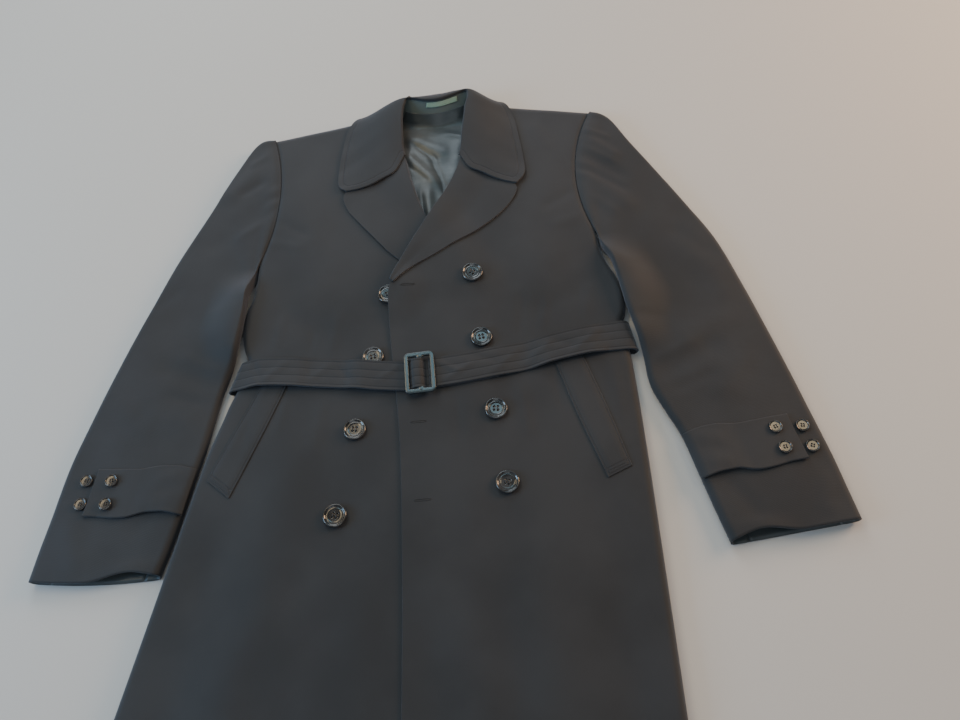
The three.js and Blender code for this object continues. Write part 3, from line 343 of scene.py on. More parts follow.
BODY_FOLDS = Rows(
    "x1 y1 x2 y2 wide high",
    (-150, -500, -215, -1075, 34, 3.4),
    (-232, -620, -300, -1080, 30, -3.0),
    (130, -640, 150, -1075, 36, 3.2),
    (214, -660, 222, -1080, 28, -2.6),
    (-185, -140, -150, -330, 30, 1.6),
    (178, -120, 150, -330, 32, 1.8),
    (-120, -385, -200, -350, 16, -1.4),
    (130, -372, 215, -340, 16, -1.4),
)
BODY_CREASES = Rows(
    "x1 y1 x2 y2 wide high",
    (-214, -196, -168, -226, 8, -0.8),
    (-222, -232, -176, -246, 7, 0.7),
    (206, -176, 162, -204, 8, -0.8),
    (214, -222, 170, -236, 9, 0.8),
    (-196, -404, -190, -352, 7, 0.8),
    (-150, -414, -146, -378, 6, -0.7),
    (-122, -420, -116, -356, 8, 0.8),
    (120, -402, 126, -344, 8, -0.9),
    (148, -396, 158, -350, 6, 0.8),
    (204, -384, 214, -334, 8, 0.8),
    (-214, -470, -222, -534, 8, -0.9),
    (-172, -474, -180, -520, 6, 0.7),
    (-126, -478, -132, -548, 9, 0.8),
    (40, -484, 44, -540, 8, -0.7),
    (118, -470, 126, -538, 8, 0.9),
    (160, -458, 168, -506, 6, -0.7),
    (232, -446, 236, -520, 8, 0.8),
    (-80, -60, -110, -120, 12, 0.7),
    (150, -40, 176, -96, 12, 0.8),
    (10, -700, 30, -1080, 26, -1.6),
    (-60, -680, -70, -1075, 24, 1.2),
    (74, -760, 84, -1085, 22, 1.3),
    (-170, -760, -190, -1080, 20, -1.4),
)
SLEEVE_FOLDS = Rows(
    "x1 y1 x2 y2 wide high",
    (-250, -90, -300, -150, 15, 2.2),
    (-236, -160, -300, -235, 20, -2.0),
    (-270, -452, -345, -420, 15, -2.2),
    (-280, -500, -350, -490, 17, 1.8),
    (-395, -400, -330, -250, 22, 1.8),
    (232, -84, 272, -122, 9, 1.8),
    (226, -118, 278, -160, 10, -1.6),
    (222, -158, 285, -215, 14, 2.0),
    (285, -470, 360, -430, 15, -2.4),
    (300, -430, 385, -390, 18, 1.8),
    (395, -390, 345, -255, 22, 1.8),
)
SLEEVE_CREASES = Rows(
    "x1 y1 x2 y2 wide high",
    (-243, -70, -268, -88, 6, 1.0),
    (-240, -118, -276, -142, 7, -1.1),
    (-238, -196, -272, -222, 7, 0.9),
    (-262, -434, -318, -406, 8, 1.0),
    (-276, -478, -330, -462, 7, -1.0),
    (-372, -330, -338, -300, 10, -0.9),
    (-392, -470, -340, -520, 12, 0.8),
    (-300, -596, -340, -640, 12, -0.9),
    (-420, -620, -400, -680, 14, 1.0),
    (228, -66, 262, -84, 5, 1.1),
    (226, -100, 268, -132, 6, 1.2),
    (224, -138, 276, -182, 7, -1.2),
    (226, -186, 262, -222, 8, 1.1),
    (280, -450, 336, -424, 7, 1.0),
    (292, -492, 352, -470, 8, -1.0),
    (376, -300, 330, -250, 12, -1.0),
    (400, -440, 352, -500, 13, 0.9),
    (340, -600, 372, -646, 12, -1.0),
    (452, -600, 446, -648, 12, 0.9),
)
FRONT_RIGHT = Rows(
    "inner_x inner_y outer_y",
    (-66, 0, -33),
    (-60, -32, -68),
    (-48, -72, -108),
    (-35, -101, -146),
    (-26, -139, -184),
    (-8, -196, -224),
    (14, -242, -278),
    (46, -308, -328),
    (50, -372, -378),
    (49, -430, -428),
    (48, -484, -482),
    (46, -560, -555),
    (44, -710, -700),
    (42, -900, -888),
    (40, -1092, -1078),
)
FRONT_LEFT = Rows(
    "inner_x inner_y outer_y",
    (84, 8, -25),
    (76, -32, -62),
    (63, -74, -103),
    (49, -102, -146),
    (41, -130, -186),
    (25, -168, -222),
    (0, -216, -258),
    (-22, -258, -300),
    (-47, -318, -346),
    (-47, -372, -390),
    (-41, -428, -438),
    (-34, -482, -490),
    (-26, -560, -560),
    (-19, -700, -695),
    (-14, -890, -885),
    (-8, -1094, -1080),
)
BACK = Rows(
    "left_y right_y shape",
    (-25, -33, 1),
    (-58, -66, 0.75),
    (-100, -108, 0.4),
    (-148, -156, 0.15),
    (-200, -210, 0),
    (-258, -278, 0),
    (-310, -335, 0),
    (-362, -391, 0),
    (-387, -416, 0),
    (-437, -466, 0),
    (-462, -491, 0),
    (-560, -580, 0),
    (-700, -710, 0),
    (-880, -885, 0),
    (-1076, -1074, 0),
)


# ------------------------------------------------------------------------- formulas
def mix(a: Array, b: Array, t: Array) -> Array:
    """The point a share t of the way from a to b."""
    return a + (b - a) * t


def ramp(value: Array, start: float, end: float) -> Array:
    """0 before start, 1 past end, with a soft start and end."""
    t = np.clip((value - start) / (end - start), 0, 1)
    return t * t * (3 - 2 * t)


def round_off(distance: Array, radius: float) -> Array:
    """Quarter ellipse: 0 at a fold, 1 from the radius on."""
    return np.sqrt(1 - (1 - np.clip(distance / radius, 0, 1)) ** 2)


def bump(distance: Array, half: float, fall: float) -> Array:
    """1 within half of the middle, falling softly to 0 over fall."""
    return 1 - ramp(np.abs(distance), half, half + fall)


def bell(distance: Array, width: float) -> Array:
    """1 in the middle, falling to both sides as a bell curve."""
    return np.exp(-((distance / width) ** 2))


def hill(place: Array, high: float, middle: float, half: float, fall: float) -> Array:
    """A soft rise to a height within half of the middle, falling over fall."""
    return high * bump(place - middle, half, fall)


def folds_at(folds: Rows, x: Array, y: Array) -> Array:
    """Height that a table of folds adds: a soft bell-shaped ridge along each line, faded at both ends.

    Args:
        folds: the lines, with their width and height.
        x: places across the coat.
        y: places along the coat.

    Returns:
        The added heights.
    """
    height = np.zeros(np.broadcast(x, y).shape)
    for x1, y1, x2, y2, wide, high in folds.values:
        along_x, along_y = x2 - x1, y2 - y1
        length = math.hypot(along_x, along_y)
        t = ((x - x1) * along_x + (y - y1) * along_y) / length**2
        off = ((x - x1) * along_y - (y - y1) * along_x) / length
        end = ramp(t, *FOLD_START) * (1 - ramp(t, *FOLD_END))
        height += high * end * bell(off, wide)
    return height


def drift(x: Array, y: Array) -> Array:
    """The slight unevenness of pressed cloth: four long waves that cross each other, under 1 mm in all."""
    return sum(high * np.sin(x / wide + y / long + phase) for high, wide, long, phase in DRIFT.values)


def edge_x(side: Side, y: Array) -> Array:
    """Side of the body at a height: a parabola for the armhole, the outline below the underarm."""
    t = np.clip((side.shoulder[1] - y) / (side.shoulder[1] - side.underarm[1]), 0, 1)
    arc = mix(side.shoulder[0], side.underarm[0], t) - side.sign * side.armhole_bow * 4 * t * (1 - t)
    return np.where(y < side.underarm[1], side.outline.at("x", y, "y"), arc)


def top_at(x: Array, y: Array, outer: bool, fine: bool = True) -> Array:
    """Upper face of the coat over a point.

    The loft of the body plus its folds; the outer front also lies one layer higher where it crosses the
    under one, higher still at the break of its lapel, and over the button that it covers in part.

    Args:
        x: places across the coat.
        y: places along the coat.
        outer: for the outer front.
        fine: with the small creases as well.

    Returns:
        The heights over the floor.
    """
    z = LOFT.at("z", y, "y") + folds_at(BODY_FOLDS, x, y)
    if fine:
        z = z + folds_at(BODY_CREASES, x, y) + drift(x, y)
    if outer:
        under_edge = FRONT_RIGHT.at("inner_x", y, "inner_y")
        over = 1 - ramp(x, under_edge + SIZES.overlap_start, under_edge + SIZES.overlap_fade)
        rolled = ramp(y, SIZES.break_y - SIZES.break_below, SIZES.break_y + SIZES.break_above)
        z = z + SIZES.layer * over
        z = z + (SIZES.layer + SIZES.break_rise) * over * rolled
        z = z + HIDDEN_BUTTON.rise_at(x, y)
    return z


@dataclass(frozen=True)
class Swell:
    """A round rise of the cloth over something that it covers."""

    x: float
    y: float
    half: float
    fall: float
    high: float

    def rise_at(self, x: Array, y: Array) -> Array:
        """How much higher the cloth lies at a place."""
        return self.high * bump(np.hypot(x - self.x, y - self.y), self.half, self.fall)


HIDDEN_BUTTON = Swell(-47.0, -333.0, 14.0, 42.0, 4.4)


@dataclass(frozen=True)
class Passage:
    """The belt's straight way under the back, and the hump that the cloth makes over it."""

    right: tuple = (-245.0, -441.0)
    left: tuple = (262.0, -412.0)
    high: float = 2.6
    fall: float = 25.0
    front_reach: float = 38.0
    back_reach: float = 26.0

    def middle_y(self, x: Array) -> Array:
        """Middle line of the belt under the back."""
        return mix(self.right[1], self.left[1], (x - self.right[0]) / (self.left[0] - self.right[0]))

    def hump_at(self, x: Array, y: Array, reach: float) -> Array:
        """How far the back stands off the floor over the belt; reach widens the level part."""
        return hill(y, self.high, self.middle_y(x), reach, self.fall)


PASSAGE = Passage()


def spaced(count: int, near_start: Sequence[float] = (), near_end: Sequence[float] = ()) -> Array:
    """Shares from 0 to 1 in even steps, with more near the ends.

    Args:
        count: even steps between the close ones.
        near_start: shares close to 0.
        near_end: distances from 1 of the shares close to 1.

    Returns:
        The shares in rising order.
    """
    start = list(near_start)
    end = [1 - share for share in near_end][::-1]
    low = start[-1] if start else 0.0
    high = end[0] if end else 1.0
    middle = np.linspace(low, high, count + 1)
    middle = middle[(1 if start else 0) : (-1 if end else None)]
    return np.concatenate([start, middle, end])


# -------------------------------------------------------------------------- meshes
def to_row(points: Array) -> Array:
    """Points of the cutter's frame, in mm, in the row's frame in metres."""
    return (points + CUTTER_TO_ROW) / 1000.0


def grid_faces(rows: int, columns: int, first: int = 0) -> Array:
    """Quads between the points of a grid that are numbered row by row from first."""
    a = first + (np.arange(rows - 1)[:, None] * columns + np.arange(columns - 1)[None, :]).ravel()
    return np.stack([a, a + columns, a + columns + 1, a + 1], axis=1)


def signed_volume(points: Array, faces: Sequence[Array]) -> float:
    """Six times the volume inside faces, negative if they look inwards.

    Args:
        points: the vertices.
        faces: arrays of vertex numbers.

    Returns:
        The volume, six times over.
    """
    total = 0.0
    for group in faces:
        for k in range(1, group.shape[1] - 1):
            a, b, c = points[group[:, 0]], points[group[:, k]], points[group[:, k + 1]]
            total += float(np.einsum("ij,ij->", np.cross(a, b), c))
    return total


def make_object(
    name: str, points: Array, faces: Sequence[Array], maps: Optional[dict] = None
) -> bpy.types.Object:
    """Puts a closed surface into a mesh with its faces turned outwards.

    Args:
        name: the object's name.
        points: vertices in the cutter's frame, in mm.
        faces: arrays of vertex numbers, one array for each number of corners.
        maps: UV maps by name, as an array of two numbers for each vertex.

    Returns:
        The object, linked to the scene at the origin.
    """
    placed = to_row(points)
    if signed_volume(placed - placed.mean(axis=0), faces) < 0:
        faces = [group[:, ::-1] for group in faces]
    corners = np.concatenate([group.ravel() for group in faces]).astype(np.int32)
    sizes = np.concatenate([np.full(len(group), group.shape[1]) for group in faces])
    starts = np.concatenate([[0], np.cumsum(sizes)[:-1]]).astype(np.int32)
    mesh = bpy.data.meshes.new(name)
    mesh.vertices.add(len(placed))
    mesh.vertices.foreach_set("co", placed.astype(np.float32).ravel())
    mesh.loops.add(len(corners))
    mesh.loops.foreach_set("vertex_index", corners)
    mesh.polygons.add(len(starts))
    mesh.polygons.foreach_set("loop_start", starts)
    mesh.polygons.foreach_set("use_smooth", np.ones(len(starts), bool))
    for map_name, values in (maps or {}).items():
        layer = mesh.uv_layers.new(name=map_name)
        layer.data.foreach_set("uv", values[corners].astype(np.float32).ravel())
    mesh.update(calc_edges=True)
    mesh.validate()
    obj = bpy.data.objects.new(name, mesh)
    bpy.context.collection.objects.link(obj)
    return obj


def arc_lengths(grid: Array, axis: int) -> Array:
    """Way along one axis of a grid of points, from its first row or column.

    Args:
        grid: the points.
        axis: 0 to go down the rows, 1 to go along them.

    Returns:
        The lengths, in the grid's shape.
    """
    steps = np.linalg.norm(np.diff(grid, axis=axis), axis=2)
    shape = list(steps.shape)
    shape[axis] = 1
    return np.concatenate([np.zeros(shape), np.cumsum(steps, axis=axis)], axis=axis)


def grid_area(grid: Array) -> float:
    """Area of a grid of points: the sum of its quads' two triangles.

    Args:
        grid: the points.

    Returns:
        The area, in the square of their unit.
    """
    a, b, c, d = grid[:-1, :-1], grid[1:, :-1], grid[1:, 1:], grid[:-1, 1:]
    first = np.linalg.norm(np.cross(b - a, c - a), axis=2)
    second = np.linalg.norm(np.cross(c - a, d - a), axis=2)
    return float((first + second).sum() / 2)


def unit_normals(grid: Array) -> Array:
    """Unit cross products of a grid's two directions, at each of its points."""
    normal = np.cross(np.gradient(grid, axis=0), np.gradient(grid, axis=1))
    return normal / np.maximum(np.linalg.norm(normal, axis=2, keepdims=True), 1e-9)


def dress(obj: bpy.types.Object, material: bpy.types.Material, slot: str, *nodes: str) -> None:
    """Gives a piece its finish, sets it on the root body, and names its slot and what it replaces.

    Args:
        obj: the piece.
        material: its finish.
        slot: its material slot.
        nodes: the CAD nodes that it replaces, if any.
    """
    obj.data.materials.append(material)
    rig.ride(obj, "root")
    if nodes:
        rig.replaces(obj, *nodes)
    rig.slot(obj, slot)


def near_edge(grid: Array, edge: Array) -> tuple:
    """Nearest place on an edge for each point of a grid.

    Args:
        grid: the points.
        edge: a fine line of points along the edge.

    Returns:
        The way along the edge and the distance from it, in the grid's shape.
    """
    way = np.concatenate([[0], np.cumsum(np.linalg.norm(np.diff(edge, axis=0), axis=1))])
    run = np.empty(grid.shape[:2])
    distance = np.empty(grid.shape[:2])
    for i, row in enumerate(grid):
        gaps = np.linalg.norm(row[:, None, :] - edge[None, :, :], axis=2)
        nearest = gaps.argmin(axis=1)
        run[i] = way[nearest]
        distance[i] = gaps[np.arange(len(row)), nearest]
    return run, distance


@dataclass
class Cloth:
    """A piece of cloth, named as the CAD node that it stands for: a grid of points on its outer face.

    The wall is the grid and the same grid moved in along its normals, joined by a rim that is pushed out a
    little at half its thickness, so that a cut edge looks turned and pressed.
    """

    name: str
    grid: Array
    rests_on: Sequence[str]
    slot: str = "coat_cloth"
    thickness: float = SIZES.cloth
    facing: Facing = Facing.UP
    seen: Optional[int] = None
    stitch_run: Optional[Array] = None
    stitch_line: Optional[Array] = None
    rim: float = 0.3
    least_width: float = 0.0105

    def __post_init__(self) -> None:
        """Keeps the outer face from dipping under the floor."""
        self.grid[..., 2] = np.maximum(self.grid[..., 2], 0)

    def inner(self) -> Array:
        """The inner face: each point moved in along the cross product of the grid's two directions.

        Returns:
            The points, in the grid's shape.
        """
        normal = unit_normals(self.grid)
        row = self.grid.shape[0] // 2 if self.seen is None else self.seen
        turn = np.sign(normal[row, self.grid.shape[1] // 2, 2]) * self.facing.value
        moved = self.grid - normal * turn * self.thickness
        moved[..., 2] = np.maximum(moved[..., 2], 0)
        return moved

    def rim_points(self, inner: Array) -> tuple:
        """The rim's middle line.

        Args:
            inner: the inner face.

        Returns:
            The rim's vertex numbers on the outer face, and its points at half the thickness.
        """
        rows, columns = self.grid.shape[:2]
        up, down = np.arange(rows - 1), np.arange(rows - 1, 0, -1)
        there, back = np.arange(columns - 1), np.arange(columns - 1, 0, -1)
        i = np.concatenate([0 * there, up, 0 * back + rows - 1, down])
        j = np.concatenate([there, 0 * up + columns - 1, back, 0 * down])
        inside_i = np.clip(i, 1, rows - 2)
        inside_j = np.clip(j, 1, columns - 2)
        out = self.grid[i, j] - self.grid[inside_i, inside_j]
        out /= np.maximum(np.linalg.norm(out, axis=1, keepdims=True), 1e-9)
        middle = (self.grid[i, j] + inner[i, j]) / 2 + out * self.rim
        return i * columns + j, middle

    def build(
        self, material: bpy.types.Material, inside: Optional[bpy.types.Material] = None
    ) -> bpy.types.Object:
        """Makes the piece's object.

        Args:
            material: the cloth's finish.
            inside: the finish of the inner face, where the piece is lined.

        Returns:
            The object, riding on the root body and declared as a sheet.
        """
        rows, columns = self.grid.shape[:2]
        count = rows * columns
        inner = self.inner()
        rim, middle = self.rim_points(inner)
        across = arc_lengths(self.grid, 1)
        along = arc_lengths(self.grid, 0)
        across -= across[:, columns // 2][:, None]
        weave = np.stack([across, along], axis=2).reshape(-1, 2) / 1000
        run = along if self.stitch_run is None else self.stitch_run
        line = np.full_like(along, FAR) if self.stitch_line is None else self.stitch_line
        stitch = np.stack([run, line], axis=2).reshape(-1, 2) / 1000
        outer_faces = grid_faces(rows, columns)
        inner_faces = grid_faces(rows, columns, count)[:, ::-1]
        after = np.roll(rim, -1)
        ring = 2 * count + np.arange(len(rim))
        ring_after = np.roll(ring, -1)
        upper = np.stack([rim, after, ring_after, ring], axis=1)
        lower = np.stack([ring, ring_after, after + count, rim + count], axis=1)
        points = np.concatenate([self.grid.reshape(-1, 3), inner.reshape(-1, 3), middle])
        maps = {
            "Weave": np.concatenate([weave, weave, weave[rim]]),
            "Stitch": np.concatenate([stitch, stitch, stitch[rim]]),
        }
        obj = make_object(f"{self.name}_cloth", points, [outer_faces, inner_faces, upper, lower], maps)
        dress(obj, material, self.slot, self.name)
        if inside is not None:
            obj.data.materials.append(inside)
            lined = np.zeros(len(obj.data.polygons), np.int32)
            lined[len(outer_faces) : len(outer_faces) + len(inner_faces)] = 1
            obj.data.polygons.foreach_set("material_index", lined)
        width = max(float(across.max(axis=1).max() - across.min()) / 1000, self.least_width)
        length = float(along.max()) / 1000
        area = grid_area(self.grid) / 1e6
        area = min(max(area, 0.3 * width * length), width * length)
        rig.sheet(obj, flat=(width, length), held="laid", area=area, rests_on=list(self.rests_on))
        log.info("%s: cut %.3f x %.3f m, %.4f m2, %d points", self.name, width, length, area, len(points))
        return obj


def ring_quads(count: int, around: int) -> Array:
    """Quads between rings of points numbered ring by ring; the last row joins the last ring to the first.

    Args:
        count: how many rings.
        around: points in each ring.

    Returns:
        The quads, a row of four vertex numbers for each.
    """
    k = np.arange(around)
    first = np.arange(count)[:, None] * around
    a, b = (first + k).ravel(), (first + (k + 1) % around).ravel()
    total = count * around
    return np.stack([a, b, (b + around) % total, (a + around) % total], axis=1)


def end_fans(count: int, around: int) -> list:
    """Triangles from two end points, numbered after the rings, to the first and the last ring.

    Args:
        count: how many rings.
        around: points in each ring.

    Returns:
        Two arrays of triangles.
    """
    k = np.arange(around)
    ahead = (k + 1) % around
    total, last = count * around, (count - 1) * around
    start = np.stack([np.full(around, total), ahead, k], axis=1)
    return [start, np.stack([np.full(around, total + 1), last + k, last + ahead], axis=1)]


def swept_tube(path: Array, radii: tuple, closed: bool, sides: int = 8, square: float = 1.0) -> tuple:
    """A tube along a path that lies nearly level.

    Each ring is a superellipse across the path: side = radius * cos, height = radius * sin, both raised to
    the power square. The ends of an open path are closed by a point.

    Args:
        path: the path's points.
        radii: half the width and half the height, each one number or one for every point of the path.
        closed: whether the path's end meets its start.
        sides: points round a ring.
        square: under 1 makes the section squarer.

    Returns:
        The points and the face arrays.
    """
    if closed:
        tangent = np.roll(path, -1, axis=0) - np.roll(path, 1, axis=0)
    else:
        tangent = np.gradient(path, axis=0)
    tangent /= np.linalg.norm(tangent, axis=1, keepdims=True)
    side = np.cross(np.array([0.0, 0.0, 1.0]), tangent)
    side /= np.linalg.norm(side, axis=1, keepdims=True)
    up = np.cross(tangent, side)
    angle = np.arange(sides) * 2 * np.pi / sides
    wide, high = (np.broadcast_to(radius, len(path))[:, None] for radius in radii)
    c = np.sign(np.cos(angle)) * np.abs(np.cos(angle)) ** square * wide
    s = np.sign(np.sin(angle)) * np.abs(np.sin(angle)) ** square * high
    rings = path[:, None, :] + side[:, None, :] * c[:, :, None] + up[:, None, :] * s[:, :, None]
    points = rings.reshape(-1, 3)
    quads = ring_quads(len(path), sides)
    if closed:
        return points, [quads]
    return np.concatenate([points, path[:1], path[-1:]]), [quads[:-sides], *end_fans(len(path), sides)]


def joined(parts: Sequence[tuple]) -> tuple:
    """Several (points, faces) as one, with the faces renumbered.

    Args:
        parts: the pairs to join.

    Returns:
        One pair of points and face arrays.
    """
    points, faces, offset = [], [], 0
    for part_points, part_faces in parts:
        points.append(part_points)
        faces.extend(group + offset for group in part_faces)
        offset += len(part_points)
    return np.concatenate(points), faces


# ------------------------------------------------------------------------ materials
class Graph:
    """A node tree with short ways to add and join nodes."""

    def __init__(self, tree: bpy.types.NodeTree) -> None:
        """Keeps the tree to build in."""
        self.tree = tree

    def add(self, kind: str, inputs: Optional[dict] = None, **settings: object) -> bpy.types.Node:
        """Adds a node.

        Args:
            kind: the node's type name, without its first word.
            inputs: socket name or number to a value, or to the output that feeds it.
            settings: the node's own properties.

        Returns:
            The node.
        """
        node = self.tree.nodes.new("ShaderNode" + kind)
        for name, value in settings.items():
            setattr(node, name, value)
        self.feed(node, inputs or {})
        return node

    def feed(self, node: bpy.types.Node, inputs: dict) -> None:
        """Sets or links a node's inputs.

        Args:
            node: the node.
            inputs: socket name or number to a value, or to the output that feeds it.
        """
        for socket, value in inputs.items():
            if isinstance(value, bpy.types.NodeSocket):
                self.tree.links.new(value, node.inputs[socket])
            else:
                node.inputs[socket].default_value = value

    def math(self, operation: str, *values: object) -> bpy.types.NodeSocket:
        """A Math node's output, from numbers or sockets."""
        return self.add("Math", dict(enumerate(values)), operation=operation).outputs[0]

    def blend(self, share: object, first: object, second: object) -> bpy.types.NodeSocket:
        """A colour a share of the way between two colours."""
        node = self.add("Mix", {0: share, 6: first, 7: second}, data_type="RGBA")
        return node.outputs[2]

    def remap(self, value: object, low: float, high: float, to_low: float, to_high: float) -> object:
        """A smooth change of a value's range, held at its ends."""
        inputs = {0: value, 1: low, 2: high, 3: to_low, 4: to_high}
        return self.add("MapRange", inputs, interpolation_type="SMOOTHSTEP").outputs[0]


def new_group(name: str, inputs: dict, outputs: Sequence[str]) -> tuple:
    """An empty node group.

    Args:
        name: the group's name.
        inputs: socket name to its kind and first value.
        outputs: names of the number outputs.

    Returns:
        The group's graph, the sockets it is fed by and the node that takes its results.
    """
    tree = bpy.data.node_groups.new(name, "ShaderNodeTree")
    for socket, (kind, value) in inputs.items():
        made = tree.interface.new_socket(name=socket, in_out="INPUT", socket_type=f"NodeSocket{kind}")
        if value is not None:
            made.default_value = value
    for socket in outputs:
        tree.interface.new_socket(name=socket, in_out="OUTPUT", socket_type="NodeSocketFloat")
    entry = tree.nodes.new("NodeGroupInput")
    leave = tree.nodes.new("NodeGroupOutput")
    return Graph(tree), entry.outputs, leave


def twill_group() -> bpy.types.NodeTree:
    """Twill weave: fine diagonal ribs, broken up by a little noise, as a height from 0 to 1.

    Returns:
        The node group.
    """
    graph, given, leave = new_group(
        "Twill weave", {"Vector": ("Vector", None), "Ribs per metre": ("Float", 900.0)}, ["Height"]
    )
    slope = 0.62
    unevenness = 1.2
    split = graph.add("SeparateXYZ", {0: given["Vector"]})
    uneven = graph.add("TexNoise", {"Vector": given["Vector"], "Scale": 260.0, "Detail": 2.0})
    diagonal = graph.math("ADD", split.outputs[0], graph.math("MULTIPLY", split.outputs[1], slope))
    turns = graph.math("MULTIPLY", diagonal, given["Ribs per metre"])
    turns = graph.math("ADD", turns, graph.math("MULTIPLY", uneven.outputs[0], unevenness))
    wave = graph.math("SINE", graph.math("MULTIPLY", turns, 2 * math.pi))
    graph.feed(leave, {"Height": graph.math("MULTIPLY_ADD", wave, 0.5, 0.5)})
    return graph.tree


def nap_group() -> bpy.types.NodeTree:
    """Nap: short fibres as fine noise, and slow changes of how they lie as broad noise. The satin's finish uses the
    broad noise as painted sheen.

    Returns:
        The node group.
    """
    graph, given, leave = new_group(
        "Cloth nap",
        {"Vector": ("Vector", None), "Fibre scale": ("Float", 1400.0), "Cloud scale": ("Float", 9.0)},
        ["Fibres", "Clouds"],
    )
    place = given["Vector"]
    fibres = graph.add("TexNoise", {"Vector": place, "Scale": given["Fibre scale"], "Detail": 3.0})
    clouds = graph.add("TexNoise", {"Vector": place, "Scale": given["Cloud scale"], "Detail": 4.0})
    spread = graph.remap(clouds.outputs[0], 0.3, 0.7, 0.0, 1.0)
    graph.feed(leave, {"Fibres": fibres.outputs[0], "Clouds": spread})
    return graph.tree


def stitch_group() -> bpy.types.NodeTree:
    """Machine stitching along a line: a soft groove, and threads as dashes in it.

    The vector's first number is the way along the line and the second the distance from it, in metres.

    Returns:
        The node group.
    """
    graph, given, leave = new_group(
        "Machine stitching",
        {
            "Vector": ("Vector", None),
            "Stitch length": ("Float", 0.0034),
            "Groove width": ("Float", 0.0016),
        },
        ["Groove", "Thread"],
    )
    dash_half = 0.38
    thread_edge = (0.1, 0.28)
    split = graph.add("SeparateXYZ", {0: given["Vector"]})
    off = graph.math("ABSOLUTE", split.outputs[1])
    share = graph.math("DIVIDE", off, given["Groove width"])
    groove = graph.remap(share, 0.0, 1.0, 1.0, 0.0)
    phase = graph.math("FRACT", graph.math("DIVIDE", split.outputs[0], given["Stitch length"]))
    gap = graph.math("ABSOLUTE", graph.math("SUBTRACT", phase, 0.5))
    dash = graph.math("LESS_THAN", gap, dash_half)
    thread = graph.math("MULTIPLY", dash, graph.remap(share, *thread_edge, 1.0, 0.0))
    graph.feed(leave, {"Groove": groove, "Thread": thread})
    return graph.tree


def start_material(name: str) -> tuple:
    """A new material, the graph of its nodes and its Principled shader."""
    made = bpy.data.materials.new(name)
    made.use_nodes = True
    return made, Graph(made.node_tree), made.node_tree.nodes["Principled BSDF"]


def nap_at(graph: Graph, groups: dict, place: object, scales: tuple) -> object:
    """The nap's outputs at a place.

    Args:
        graph: the material's graph.
        groups: the shared node groups by name.
        place: the output that gives the place.
        scales: the finish's fibre scale and cloud scale, each per metre.

    Returns:
        The group node's outputs, Fibres and Clouds.
    """
    inputs = {"Vector": place, "Fibre scale": scales[0], "Cloud scale": scales[1]}
    return graph.add("Group", inputs, node_tree=groups["nap"]).outputs


@dataclass(frozen=True)
class ClothFinish:
    """Woven cloth with nap, twill and stitching, and painted shade along the stitching grooves; lengths in metres,
    relief in millimetres.
    """

    name: str
    dark: tuple
    light: tuple
    roughness: float
    sheen: float
    ribs: float = 900.0
    rib_height: float = 0.05
    fibre_height: float = 0.07
    thread: tuple = (0.03, 0.032, 0.04, 1.0)
    scales: tuple = (1400.0, 9.0)
    stitch_length: float = 0.0034
    groove_width: float = 0.0016
    groove_depth: float = 0.34
    # painted shade in the stitching grooves: how dark a copy of the dark tone, and how strongly it is blended in
    painted_groove_shade: float = 0.35
    painted_groove_shade_share: float = 0.28
    thread_height: float = 0.2
    thread_share: float = 0.5
    mottle: float = 0.5
    rough_spread: float = 0.06
    tint: tuple = (0.8, 0.85, 1.0, 1.0)

    def material(self, groups: dict) -> bpy.types.Material:
        """Builds the material.

        Args:
            groups: the shared node groups by name.

        Returns:
            The material, reading the Weave and Stitch maps and Object coordinates.
        """
        made, graph, shader = start_material(self.name)
        place = graph.add("TexCoord").outputs["Object"]
        weave = graph.add("UVMap", uv_map="Weave").outputs[0]
        way = graph.add("UVMap", uv_map="Stitch").outputs[0]
        ribs = {"Vector": weave, "Ribs per metre": self.ribs}
        twill = graph.add("Group", ribs, node_tree=groups["twill"]).outputs
        nap = nap_at(graph, groups, place, self.scales)
        line = {"Vector": way, "Stitch length": self.stitch_length, "Groove width": self.groove_width}
        sewn = graph.add("Group", line, node_tree=groups["stitch"]).outputs
        shade = graph.math("MULTIPLY_ADD", nap["Fibres"], self.mottle, -self.mottle / 2)
        shade = graph.math("ADD", shade, nap["Clouds"])
        colour = graph.blend(shade, self.dark, self.light)
        # Painted shade: the colour darkens along each stitching groove toward a darker copy of the cloth, as shade in
        # the recess.
        hollow = graph.math("MULTIPLY", sewn["Groove"], self.painted_groove_shade_share)
        colour = graph.blend(hollow, colour, tuple(self.painted_groove_shade * c for c in self.dark[:3]) + (1.0,))
        strand = graph.math("MULTIPLY", sewn["Thread"], self.thread_share)
        colour = graph.blend(strand, colour, self.thread)
        base = self.roughness - self.rough_spread / 2
        rough = graph.math("MULTIPLY_ADD", nap["Clouds"], self.rough_spread, base)
        height = graph.math("MULTIPLY", twill["Height"], self.rib_height)
        height = graph.math("MULTIPLY_ADD", nap["Fibres"], self.fibre_height, height)
        height = graph.math("MULTIPLY_ADD", sewn["Groove"], -self.groove_depth, height)
        height = graph.math("MULTIPLY_ADD", sewn["Thread"], self.thread_height, height)
        relief = graph.add("Bump", {"Height": height, "Distance": 0.001, "Strength": 1.0})
        graph.feed(shader, {"Base Color": colour, "Roughness": rough, "Normal": relief.outputs[0]})
        shader.inputs["Sheen Weight"].default_value = self.sheen
        shader.inputs["Sheen Roughness"].default_value = 0.45
        shader.inputs["Sheen Tint"].default_value = self.tint
        shader.inputs["Specular IOR Level"].default_value = 0.35
        return made


